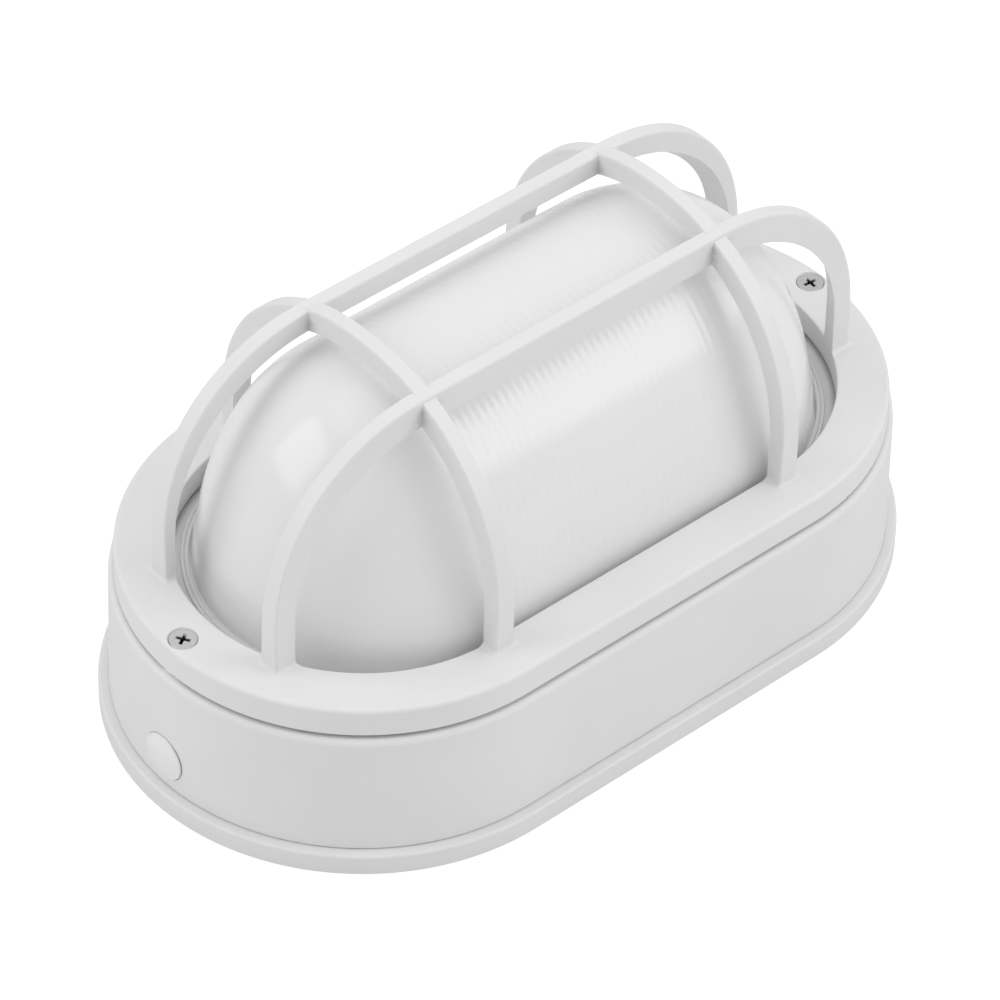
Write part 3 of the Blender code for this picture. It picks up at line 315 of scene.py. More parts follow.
class BulkheadFinishes(bpy.types.PropertyGroup):
    """Colours and gloss of the finishes."""

    shell: colour("Shell", (0.80, 0.80, 0.80), "Colour of the white moulded shell")
    shell_roughness: share("Shell roughness", 0.46, "Roughness of the shell's fine moulded skin")
    opal: colour("Opal", (0.83, 0.83, 0.83), "Colour of the opal bowl")
    opal_roughness: share("Opal roughness", 0.15, "Roughness of the opal bowl")
    plug: colour("Plug", (0.86, 0.86, 0.86), "Colour of the blanking plug")
    plug_roughness: share("Plug roughness", 0.28, "Roughness of the blanking plug")
    steel: colour("Plated steel", (0.66, 0.66, 0.65), "Colour of the plated screws")
    grain: share("Grain", 0.02, "Strength of the moulded grain's relief")
    mottle: share("Mottle", 0.012, "Strength of the shell's faint cloudiness")


class BulkheadStage(bpy.types.PropertyGroup):
    """The camera, the lights and the floor."""

    camera: place_in_space("Camera", (-0.64232, -0.70640, 0.90857), "Place of the camera")
    target: place_in_space("Target", (0.0097967, 0.0131675, 0.0174797), "Point that the camera looks at")
    roll: FloatProperty(
        name="Roll", description="Turn of the camera about its own axis", default=math.radians(1.67),
        unit="ROTATION",
    )
    lens: FloatProperty(
        name="Lens", description="Focal length for a 36 mm sensor", default=200.38, unit="CAMERA"
    )
    world_light: share("World light", 0.635, "Brightness of the surround that lights the object", 5.0)
    top_light: share("Top light", 0.73, "Radiance of the overhead panel", 20.0)
    side_light: share("Side light", 2.25, "Radiance of the right-hand softbox", 20.0)
    back_light: share("Back light", 1.8, "Radiance of the left-hand softbox", 20.0)
    floor: colour("Floor", (0.80, 0.80, 0.80), "Colour of the floor")
    floor_glow: share("Floor glow", 0.68, "How far the floor is lifted towards white for the camera")


def settings(group):
    return getattr(bpy.context.scene, "bulkhead_" + group)


# Modelling steps


def begin(at):
    """Starts a line at one point: a tiny plane merged to a single vertex, left in edit mode."""
    bpy.ops.object.select_all(action="DESELECT")
    bpy.ops.mesh.primitive_plane_add(size=MM, location=(0.0, 0.0, 0.0))
    bpy.ops.object.mode_set(mode="EDIT")
    bpy.ops.mesh.select_mode(type="VERT")
    bpy.ops.mesh.merge(type="CENTER")
    bpy.ops.transform.translate(value=at)


def draw_on(step):
    bpy.ops.mesh.extrude_vertices_move(TRANSFORM_OT_translate={"value": step})


def push(step):
    bpy.ops.mesh.extrude_region_move(TRANSFORM_OT_translate={"value": step})


def draw(points):
    """Draws a line through points by extruding its last vertex."""
    begin(points[0])
    for here, there in zip(points, points[1:]):
        draw_on(Vector(there) - Vector(here))
    bpy.ops.mesh.select_all(action="SELECT")


def merge_doubles():
    bpy.ops.mesh.select_all(action="SELECT")
    bpy.ops.mesh.remove_doubles(threshold=MERGE)


def named(piece, name):
    piece.name = name
    piece.data.name = name
    return piece


def close_up(name):
    """Merges the doubles of the mesh in edit mode, turns its faces outwards and leaves edit mode."""
    merge_doubles()
    bpy.ops.mesh.normals_make_consistent(inside=False)
    bpy.ops.object.mode_set(mode="OBJECT")
    bpy.ops.object.transform_apply(location=True, rotation=True, scale=True)
    return named(bpy.context.object, name)


def go_round(half, steps, centre=(0, 0), along=0):
    """Takes a line round an oval along X (0) or Y (1): a half turn at each end, then a straight side."""
    for side in (1, -1):
        middle = [*centre, 0]
        middle[along] += side * half
        bpy.ops.mesh.spin(steps=steps, angle=math.pi, center=middle, axis=(0, 0, -1))
        straight = [0, 0, 0]
        straight[along] = -2 * side * half
        push(straight)


def sweep_oval(name, profile, span=SPAN):
    """Sweeps (radius, height) points round a straight-sided oval. Radius 0 joins the end centres."""
    draw([(span, -radius, z) for radius, z in profile])
    go_round(span, ARC_STEPS)
    return close_up(name)


def lathe(name, profile, centre, axis=(0, 0, 1), steps=TURN_STEPS):
    """Spins (radius, height) points about an axis through a centre."""
    axis = Vector(axis)
    across = axis.orthogonal().normalized()
    draw([Vector(centre) + across * radius + axis * height for radius, height in profile])
    bpy.ops.mesh.spin(steps=steps, angle=2 * math.pi, center=centre, axis=axis)
    return close_up(name)


def cylinder(name, radius, low, high, at, steps=TURN_STEPS):
    return lathe(name, [(0, low), (radius, low), (radius, high), (0, high)], (at[0], at[1], 0), steps=steps)


def box(name, low, high):
    """A block that a primitive cube is stretched to."""
    low = Vector(low)
    high = Vector(high)
    bpy.ops.object.select_all(action="DESELECT")
    bpy.ops.mesh.primitive_cube_add(size=1.0, location=(low + high) / 2, scale=high - low)
    bpy.ops.object.mode_set(mode="EDIT")
    return close_up(name)


def select_where(kind, test):
    """Selects the vertices, edges or faces in edit mode that pass a test."""
    bpy.ops.mesh.select_mode(type=kind)
    bpy.ops.mesh.select_all(action="DESELECT")
    mesh = bmesh.from_edit_mesh(bpy.context.object.data)
    for element in {"VERT": mesh.verts, "EDGE": mesh.edges, "FACE": mesh.faces}[kind]:
        element.select_set(bool(test(element)))
    mesh.select_flush_mode()
    bmesh.update_edit_mesh(bpy.context.object.data)


def select_rim(level):
    select_where("EDGE", lambda edge: all(abs(vert.co.z - level) < MERGE for vert in edge.verts))


def cap(level):
    """Closes the open rim at a height."""
    select_rim(level)
    bpy.ops.mesh.edge_face_add()


def round_slot(name, width, long, low, high, centre, along):
    """A round-ended slot cutter along X (0) or Y (1)."""
    half = (long - width) / 2
    start = Vector((width / 2, half)) if along else Vector((half, -width / 2))
    begin((centre[0] + start.x, centre[1] + start.y, low))
    draw_on((0, 0, high - low))
    bpy.ops.mesh.select_all(action="SELECT")
    go_round(half, TURN_STEPS // 4, centre, along)
    merge_doubles()
    cap(low)
    cap(high)
    return close_up(name)


def round_corner(radius, corner, start, end, steps=EDGE_STEPS):
    """Points of a round edge in a section. The corner is the arc's centre; the angles are in degrees."""
    points = []
    for step in range(steps + 1):
        angle = math.radians(start + (end - start) * step / steps)
        points.append((corner[0] + radius * math.cos(angle), corner[1] + radius * math.sin(angle)))
    return points


def arch_point(angle, reach, rise, fullness):
    """A point of a quarter arch, as (ahead, up), and the way its outer face looks there."""
    ahead = math.cos(angle) ** (2 / fullness)
    up = math.sin(angle) ** (2 / fullness)
    facing = math.atan2(up ** (fullness - 1) / rise, ahead ** (fullness - 1) / reach)
    return reach * ahead, rise * up, facing


def quarter_turn(steps):
    """The angles of a quarter turn, from 0 to a right angle."""
    return [math.pi / 2 * step / steps for step in range(steps + 1)]


def make_active(piece):
    bpy.ops.object.select_all(action="DESELECT")
    piece.select_set(True)
    bpy.context.view_layer.objects.active = piece


def boolean(piece, tools, operation, solver="EXACT"):
    """Adds or cuts a shape with each of the tools, which are used up."""
    for tool in tools:
        modifier = piece.modifiers.new(tool.name, "BOOLEAN")
        modifier.operation = operation
        modifier.solver = solver
        modifier.object = tool
        make_active(piece)
        bpy.ops.object.modifier_apply(modifier=modifier.name)
        mesh = tool.data
        bpy.data.objects.remove(tool)
        bpy.data.meshes.remove(mesh)


def copied(piece, name, offset):
    """A moved copy of a piece, with its own mesh."""
    make_active(piece)
    bpy.ops.object.duplicate(linked=False)
    bpy.ops.transform.translate(value=offset)
    bpy.ops.object.transform_apply(location=True, rotation=True, scale=True)
    return named(bpy.context.object, name)


def smooth(piece, angle):
    """Smooth shading with sharp creases kept."""
    make_active(piece)
    bpy.ops.object.shade_smooth_by_angle(angle=math.radians(angle))


def polish(piece, angle=SMOOTH_ANGLE):
    """Smooth shading with sharp creases kept, weighted by face area."""
    smooth(piece, angle)
    modifier = piece.modifiers.new("Weighted normals", "WEIGHTED_NORMAL")
    modifier.keep_sharp = True
    bpy.ops.object.modifier_apply(modifier=modifier.name)


def dress(piece, material, slot, *nodes):
    """Gives a finished piece its material and its place in the frame."""
    if not piece.data.polygons:
        raise RuntimeError(f"{piece.name} came out empty")
    piece.data.materials.clear()
    piece.data.materials.append(material)
    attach(piece, "root")
    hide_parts(*nodes)


def shank_bore(low, high):
    """Radius of a hole for a screw's shank: half its head's radius and a gap."""
    return (high.x - low.x) / 4 + CLEAR


def plug_face():
    """The middle of the flat spot that the blanking plug sits on."""
    return Vector((PLUG_LOW.x + settings("screws").plug_crown + CLEAR, 0, PLUG_Z))


# Shader nodes


def feed_node(tree, made, feeds):
    """Feeds inputs by name or number: a socket is linked, a value is set."""
    for place, feed in feeds.items():
        if isinstance(feed, bpy.types.NodeSocket):
            tree.links.new(feed, made.inputs[place])
        else:
            made.inputs[place].default_value = feed


def node(tree, kind, at, feeds, **choices):
    made = tree.nodes.new("ShaderNode" + kind)
    made.location = at
    for name, value in choices.items():
        setattr(made, name, value)
    feed_node(tree, made, feeds)
    return made


def value_math(tree, at, operation, *feeds):
    return node(tree, "Math", at, dict(enumerate(feeds)), operation=operation).outputs[0]


def vector_math(tree, at, operation, *feeds):
    made = node(tree, "VectorMath", at, dict(enumerate(feeds)), operation=operation)
    return made.outputs["Value" if operation == "LENGTH" else "Vector"]


def noise(tree, at, place, scale, detail):
    return node(tree, "TexNoise", at, {"Vector": place, "Scale": scale, "Detail": detail}).outputs["Fac"]


def ramp(tree, at, value, low, high, low_value, high_value, interpolation="SMOOTHSTEP"):
    """Carries a value from one range to another, held at both ends."""
    feeds = {"Value": value, "From Min": low, "From Max": high, "To Min": low_value, "To Max": high_value}
    return node(tree, "MapRange", at, feeds, interpolation_type=interpolation).outputs["Result"]


def node_group(name, inputs, outputs, build):
    """A shared effect with named inputs and outputs, built for the first material that uses it."""
    if name in bpy.data.node_groups:
        return bpy.data.node_groups[name]
    group = bpy.data.node_groups.new(name, "ShaderNodeTree")
    for in_out, rows in (("INPUT", inputs), ("OUTPUT", outputs)):
        for label, kind, *default in rows:
            socket = group.interface.new_socket(name=label, in_out=in_out, socket_type="NodeSocket" + kind)
            if default:
                socket.default_value = default[0]
    start = group.nodes.new("NodeGroupInput")
    start.location = (-1500, 0)
    end = group.nodes.new("NodeGroupOutput")
    end.location = (700, 0)
    for label, source in build(group, start.outputs).items():
        group.links.new(source, end.inputs[label])
    return group


def moulded_skin():
    """Fine grain of a moulded plastic: a faintly cloudy colour, uneven gloss and a shallow relief."""

    def build(tree, given):
        cloud = noise(tree, (-640, 260), given["Vector"], CLOUD_SCALE, CLOUD_DETAIL)
        swing = ramp(tree, (-420, 260), cloud, *CLOUD_RANGE, -1.0, 1.0, "LINEAR")
        amount = value_math(tree, (-200, 260), "MULTIPLY", swing, given["Mottle"])
        factor = value_math(tree, (-20, 260), "ADD", amount, 1.0)
        tint = node(tree, "VectorMath", (200, 260), {0: given["Colour"], "Scale": factor}, operation="SCALE")
        smear = noise(tree, (-640, -40), given["Vector"], SMEAR_SCALE, SMEAR_DETAIL)
        centred = value_math(tree, (-420, -40), "SUBTRACT", smear, 0.5)
        uneven = value_math(
            tree, (-200, -40), "MULTIPLY_ADD", centred, given["Unevenness"], given["Roughness"]
        )
        grain = noise(tree, (-640, -320), given["Vector"], given["Grain size"], GRAIN_DETAIL)
        relief = {"Strength": given["Relief"], "Distance": SKIN_DEPTH, "Height": grain}
        bump = node(tree, "Bump", (200, -320), relief)
        return {"Colour": tint.outputs["Vector"], "Roughness": uneven, "Normal": bump.outputs["Normal"]}

    inputs = (
        ("Vector", "Vector"),
        ("Colour", "Color", (0.8, 0.8, 0.8, 1.0)),
        ("Mottle", "Float", 0.01),
        ("Roughness", "Float", 0.45),
        ("Unevenness", "Float", 0.05),
        ("Grain size", "Float", 2200.0),
        ("Relief", "Float", 0.02),
    )
    outputs = (("Colour", "Color"), ("Roughness", "Float"), ("Normal", "Vector"))
    return node_group("Moulded skin", inputs, outputs, build)


def oval_place():
    """Where a point lies on the light: its distance from the line between the end centres, and its height."""

    def build(tree, given):
        parts = node(tree, "SeparateXYZ", (-680, 0), {"Vector": given["Vector"]}).outputs
        side = value_math(tree, (-480, 160), "ABSOLUTE", parts["X"])
        past = value_math(tree, (-300, 160), "SUBTRACT", side, given["Span"])
        ahead = value_math(tree, (-120, 160), "MAXIMUM", past, 0.0)
        plan = node(tree, "CombineXYZ", (80, 80), {"X": ahead, "Y": parts["Y"]})
        distance = vector_math(tree, (300, 80), "LENGTH", plan.outputs["Vector"])
        return {"Radius": distance, "Height": parts["Z"]}

    inputs = (("Vector", "Vector"), ("Span", "Float", SPAN))
    return node_group("Oval place", inputs, (("Radius", "Float"), ("Height", "Float")), build)


def crossing_dust():
    """Dark dust caught in the corners where the bars cross, the same at all four: a mask."""

    def build(tree, given):
        at = given["Vector"]
        spot = vector_math(tree, (-1300, 160), "ABSOLUTE", at)
        spot = vector_math(tree, (-1120, 160), "SUBTRACT", spot, given["Crossing"])
        spot = vector_math(tree, (-940, 160), "ABSOLUTE", spot)
        spot = vector_math(tree, (-760, 160), "SUBTRACT", spot, (CROSSING_HALF, CROSSING_HALF, 0.0))
        spot = vector_math(tree, (-580, 160), "MULTIPLY", spot, (1.0, 1.0, DUST_DROOP))
        away = vector_math(tree, (-430, 160), "LENGTH", spot)
        near = ramp(tree, (-280, 160), away, 0.0, given["Reach"], 1.0, 0.0, "LINEAR")
        grit = noise(tree, (-480, -160), at, GRIT_SCALE, GRIT_DETAIL)
        heaped = value_math(tree, (-60, 60), "MULTIPLY_ADD", near, GRIT_HEAP, grit)
        mask = ramp(tree, (160, 60), heaped, GRIT_FROM, GRIT_TO, 0.0, 1.0)
        height = node(tree, "SeparateXYZ", (-480, 400), {"Vector": at}).outputs["Z"]
        low = CROSSING[2] + DUST_LOW
        high = CROSSING[2] + DUST_HIGH
        under = ramp(tree, (-280, 400), height, low, high, DUST_STRENGTH, 0.0)
        return {"Mask": value_math(tree, (420, 200), "MULTIPLY", mask, under)}

    inputs = (("Vector", "Vector"), ("Crossing", "Vector", CROSSING), ("Reach", "Float", DUST_REACH))
    return node_group("Crossing dust", inputs, (("Mask", "Float"),), build)


# Finishes


def dust_mask(tree, place, at):
    x, y = at
    return node(tree, "Group", (x - 300, y), {"Vector": place}, node_tree=crossing_dust()).outputs["Mask"]


def zone_mask(heights, radii, span=SPAN):
    """Makes a mask from a step by height and one by radius: a low and a high place and the values there."""

    def mask(tree, place, at):
        x, y = at
        feeds = {"Vector": place, "Span": span}
        found = node(tree, "Group", (x - 600, y), feeds, node_tree=oval_place()).outputs
        level = ramp(tree, (x - 380, y), found["Height"], *heights)
        ring = ramp(tree, (x - 380, y - 200), found["Radius"], *radii)
        return value_math(tree, (x - 180, y), "MULTIPLY", level, ring)

    return mask


def finish(name, tone, roughness, grain, relief, mottle, metallic=0.0, ior=PLASTIC_IOR, dust_and_painted_shades=()):
    """A finish whose skin varies in colour, gloss and relief, with colours laid over it by their masks: dust,
    and painted shade.
    """
    if name in bpy.data.materials:
        return bpy.data.materials[name]
    material = bpy.data.materials.new(name)
    material.use_nodes = True
    tree = material.node_tree
    place = node(tree, "TexCoord", (-900, 0), {}).outputs["Object"]
    feeds = {"Vector": place, "Colour": (*tone, 1.0), "Mottle": mottle, "Roughness": roughness}
    feeds.update({"Unevenness": SKIN_UNEVENNESS, "Grain size": grain, "Relief": relief})
    skin = node(tree, "Group", (-500, 0), feeds, node_tree=moulded_skin()).outputs
    source = skin["Colour"]
    # The colours laid over are dust and painted shade, each by its own mask
    for row, (shade, make_mask) in enumerate(dust_and_painted_shades):
        at = (-60, 520 + 260 * row)
        feeds = {"A": source, "B": (*shade, 1.0), "Factor": make_mask(tree, place, at)}
        source = node(tree, "Mix", at, feeds, data_type="RGBA").outputs["Result"]
    feeds = {"Base Color": source, "Roughness": skin["Roughness"], "Normal": skin["Normal"]}
    feeds.update({"Metallic": metallic, "IOR": ior})
    feed_node(tree, tree.nodes["Principled BSDF"], feeds)
    return material


def shell_material(name="White shell plastic", dust_and_painted_shades=()):
    values = settings("finishes")
    skin = (values.shell, values.shell_roughness, SHELL_GRAIN, values.grain, values.mottle)
    return finish(name, *skin, dust_and_painted_shades=dust_and_painted_shades)


def cover_material():
    """The shell's plastic with dust where the bars cross and painted shade that darkens the foot of the
    hole's wall.
    """
    sizes = settings("guard")
    lip = sizes.top - sizes.lip
    edge = sizes.hole + sizes.hole_edge
    # Painted shade: the hole's wall gets darker towards its foot
    foot = zone_mask((lip, lip + HOLE_FOOT_H, HOLE_FOOT_SHADE, 0.0), (edge, edge + CLEAR, 1.0, 0.0))
    return shell_material("White cover plastic", ((DUST_COLOUR, dust_mask), (HOLE_FOOT_PAINTED_SHADE_COLOUR, foot)))


def opal_material():
    """Glossy opal plastic, with painted shade that darkens it where its flange goes under the cover."""
    values = settings("finishes")
    sizes = settings("diffuser")
    hole = settings("guard").hole
    top = DIFFUSER_LOW.z + sizes.flange
    low = (top, top + sizes.step_height, 1.0, 0.0)
    # Painted shade on the flange, darker out towards the hole's wall
    flange = zone_mask(low, (hole - FLANGE_SHADE_W, hole, 0.0, FLANGE_SHADE))
    skin = (values.opal, values.opal_roughness, OPAL_GRAIN, GLOSSY_RELIEF, GLOSSY_MOTTLE)
    return finish("Opal plastic", *skin, ior=OPAL_IOR, dust_and_painted_shades=((FLANGE_PAINTED_SHADE_COLOUR, flange),))


def plug_material():
    values = settings("finishes")
    skin = (values.plug, values.plug_roughness, PLUG_GRAIN, GLOSSY_RELIEF, GLOSSY_MOTTLE)
    return finish("White plug plastic", *skin)


def steel_material():
    """Dull plated steel, with painted shade that makes it nearly black inside the cover screws' recesses."""
    rim = SCREW_HIGH.z
    reach = settings("screws").cross_length / 2 + CLEAR
    deep = (rim - RECESS_DEEP, rim - RECESS_EDGE, 1.0, 0.0)
    # Painted shade that darkens the inside of the driver recess
    recess = zone_mask(deep, (reach, reach + HAIR, 1.0, 0.0), SCREW_X)
    skin = (settings("finishes").steel, STEEL_ROUGHNESS, METAL_GRAIN, STEEL_RELIEF, METAL_MOTTLE, 1.0)
    return finish("Plated steel", *skin, dust_and_painted_shades=((RECESS_PAINTED_SHADE_COLOUR, recess),))


# Operators


class BULKHEAD_OT_back_plate(bpy.types.Operator):
    """Model the plate that goes on the wall, with its pocket, ribs, pads and slots"""

    bl_idname = "bulkhead.back_plate"
    bl_label = "Back plate"

    def execute(self, context):
        sizes = settings("body")
        outer = PLATE_HIGH.y
        height = PLATE_HIGH.z
        pocket = sizes.plate_pocket
        pocket_r = outer - sizes.plate_rim
        edge = sizes.plate_edge
        profile = [(0, pocket), (pocket_r, pocket), (pocket_r, 0), (outer - CLEAR, 0), (outer, CLEAR)]
        profile += round_corner(edge, (outer - edge, height - edge), 0, 90)
        profile += [(0, height)]
        plate = sweep_oval("back_plate_dressed", profile)
        boolean(plate, self.ribs(sizes, pocket_r), "UNION")
        boolean(plate, self.openings(height), "DIFFERENCE")
        polish(plate)
        dress(plate, shell_material(), "white_shell_plastic", "back_plate")
        return {"FINISHED"}

    def ribs(self, sizes, pocket_r):
        """Ribs and pads stand on the web behind the plate, a hair short of its rim."""
        low = HAIR
        top = sizes.plate_pocket + CLEAR
        half = sizes.plate_rib / 2
        tools = []
        for side in (-1, 1):
            y = side * PLATE_RIB_Y
            reach = SPAN + math.sqrt(pocket_r**2 - y**2) + CLEAR
            tools.append(box("rib", (-reach, y - half, low), (reach, y + half, top)))
            x = side * PLATE_RIB_X
            reach = pocket_r + CLEAR
            tools.append(box("rib", (x - half, -reach, low), (x + half, reach, top)))
        pad = PLATE_PAD / 2
        tools.append(box("pad", (-pad, -pad, low), (pad, pad, top)))
        for along, side in SLOTS:
            size = (SLOT_W + 2 * SLOT_PAD, SLOT_L + 2 * SLOT_PAD, low, top)
            tools.append(round_slot("pad", *size, (side * (SPAN + SLOT_OFFSET), 0), along))
        for screw_low, screw_high in BODY_SCREWS:
            radius = (screw_high.x - screw_low.x) / 2 + CLEAR
            tools.append(cylinder("pad", radius, low, top, (screw_low + screw_high) / 2))
        tools.append(cylinder("collar", GROMMET_R + CLEAR + sizes.plate_rib, low, top, GROMMET_AT))
        return tools

    def openings(self, height):
        """The fixing slots, the cable hole, the blind screw holes and the seal's groove."""
        above = height + CLEAR
        tools = []
        for along, side in SLOTS:
            centre = (side * (SPAN + SLOT_OFFSET), 0)
            tools.append(round_slot("slot", SLOT_W, SLOT_L, -CLEAR, above, centre, along))
            sink = (SLOT_W + SLOT_PAD, SLOT_L + SLOT_PAD, height - SLOT_SINK, above)
            tools.append(round_slot("sink", *sink, centre, along))
        for low, high in BODY_SCREWS:
            tools.append(cylinder("hole", shank_bore(low, high), low.z - CLEAR, above, (low + high) / 2))
        tools.append(cylinder("hole", GROMMET_R + CLEAR, -CLEAR, above, GROMMET_AT))
        inner = SEAL_HIGH.y - SEAL_W - CLEAR
        outer = SEAL_HIGH.y + CLEAR
        low = SEAL_LOW.z - CLEAR
        band = [(inner, low), (outer, low), (outer, above), (inner, above), (inner, low)]
        tools.append(sweep_oval("groove", band))
        return tools


class BULKHEAD_OT_housing(bpy.types.Operator):
    """Model the deep body: wall, floor, gasket shelf, posts and cover bosses"""

    bl_idname = "bulkhead.housing"
    bl_label = "Housing"

    def execute(self, context):
        sizes = settings("body")
        foot = HOUSING_HIGH.y
        top_r = foot - sizes.draft
        top = sizes.wall_top
        base = HOUSING_LOW.z
        floor = base + sizes.floor
        inner_top = top_r - sizes.wall
        shelf_r = GASKET_HIGH.y - FLANGE_GRIP + CLEAR
        upstand_r = GASKET_HIGH.y + CLEAR
        shelf = GASKET_LOW.z - CLEAR
        rim = top - UPSTAND_DROP
        profile = [(0, floor), (foot - sizes.wall, floor), (inner_top, shelf - sizes.shelf)]
        profile += [(shelf_r, shelf - sizes.shelf), (shelf_r, shelf), (upstand_r, shelf)]
        profile += [(upstand_r, rim), (upstand_r + sizes.upstand, rim)]
        profile += [(upstand_r + sizes.upstand, shelf), (inner_top, shelf), (inner_top, top)]
        profile += round_corner(sizes.wall_round, (top_r - sizes.wall_round, top - sizes.wall_round), 90, 0)
        profile += [(foot, base), (0, base)]
        housing = sweep_oval("housing_dressed", profile)
        bosses = [self.cover_boss(side, sizes, top_r) for side in ENDS.values()]
        boolean(housing, bosses + self.posts(floor), "UNION", "MANIFOLD")
        boolean(housing, self.openings(sizes, base, floor), "DIFFERENCE", "MANIFOLD")
        polish(housing)
        dress(housing, shell_material(), "white_shell_plastic", "housing")
        return {"FINISHED"}

    def cover_boss(self, side, sizes, top_r):
        """A boss that hangs on the end wall: a round foot stretched down and out to the wall."""
        top = HOUSING_HIGH.z
        low = top - (2 * BOSS_R + INSERT_BELOW)
        x = side * SCREW_X
        draw([(x - BOSS_R, 0.0, top), (x - BOSS_R, 0.0, low)])
        bpy.ops.mesh.spin(steps=TURN_STEPS, angle=2 * math.pi, center=(x, 0, 0), axis=(0, 0, 1))
        merge_doubles()
        select_rim(low)
        wall_x = side * (SPAN + top_r - sizes.wall)
        push(Vector((wall_x - x, 0, -BOSS_R / 2)))
        foot = (wall_x, 0, low - BOSS_R / 2)
        bpy.ops.transform.resize(value=(BOSS_TAIL, BOSS_TAIL, 1), center_override=foot)
        bpy.ops.mesh.edge_face_add()
        cap(top)
        return close_up("boss")

    def posts(self, floor):
        """Round posts under the small screws of the bracket, the reflector and the terminal block."""
        tools = []
        for name in POST_SCREWS:
            low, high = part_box(name)
            height = (floor - CLEAR, floor + POST_H)
            tools.append(cylinder("post", POST_R, *height, (low + high) / 2, TURN_STEPS // 2))
        return tools

    def openings(self, sizes, base, floor):
        """Holes for the inserts, the screws, the grommet and the blanking plug, and the plug's flat spot."""
        tools = []
        above = floor + CLEAR
        for end, side in ENDS.items():
            at = (side * SCREW_X, 0)
            low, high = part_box(f"cover_insert_{end}")
            radius = (high.x - low.x) / 2 + CLEAR
            tools.append(cylinder("bore", radius, low.z - CLEAR, HOUSING_HIGH.z + CLEAR, at))
            tools.append(cylinder("bore", shank_bore(SCREW_LOW, SCREW_HIGH), SCREW_LOW.z - CLEAR, low.z, at))
        for name in POST_SCREWS:
            low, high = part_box(name)
            radius = (high.y - low.y) / 4 + CLEAR
            depth = (low.z, floor + POST_H + CLEAR)
            tools.append(cylinder("hole", radius, *depth, (low + high) / 2, TURN_STEPS // 2))
        for low, high in BODY_SCREWS:
            tools.append(cylinder("hole", shank_bore(low, high), base - CLEAR, above, (low + high) / 2))
        tools.append(cylinder("hole", GROMMET_R - GROMMET_FLANGE + CLEAR, base - CLEAR, above, GROMMET_AT))
        screws = settings("screws")
        spot_r = screws.plug_radius + screws.plug_gap
        hole_r = screws.plug_stem + CLEAR
        deep = -2 * sizes.wall
        profile = [(0, deep), (hole_r, deep), (hole_r, 0), (spot_r, 0), (spot_r, sizes.wall), (0, sizes.wall)]
        tools.append(lathe("plug_hole", profile, plug_face(), (-1, 0, 0)))
        return tools


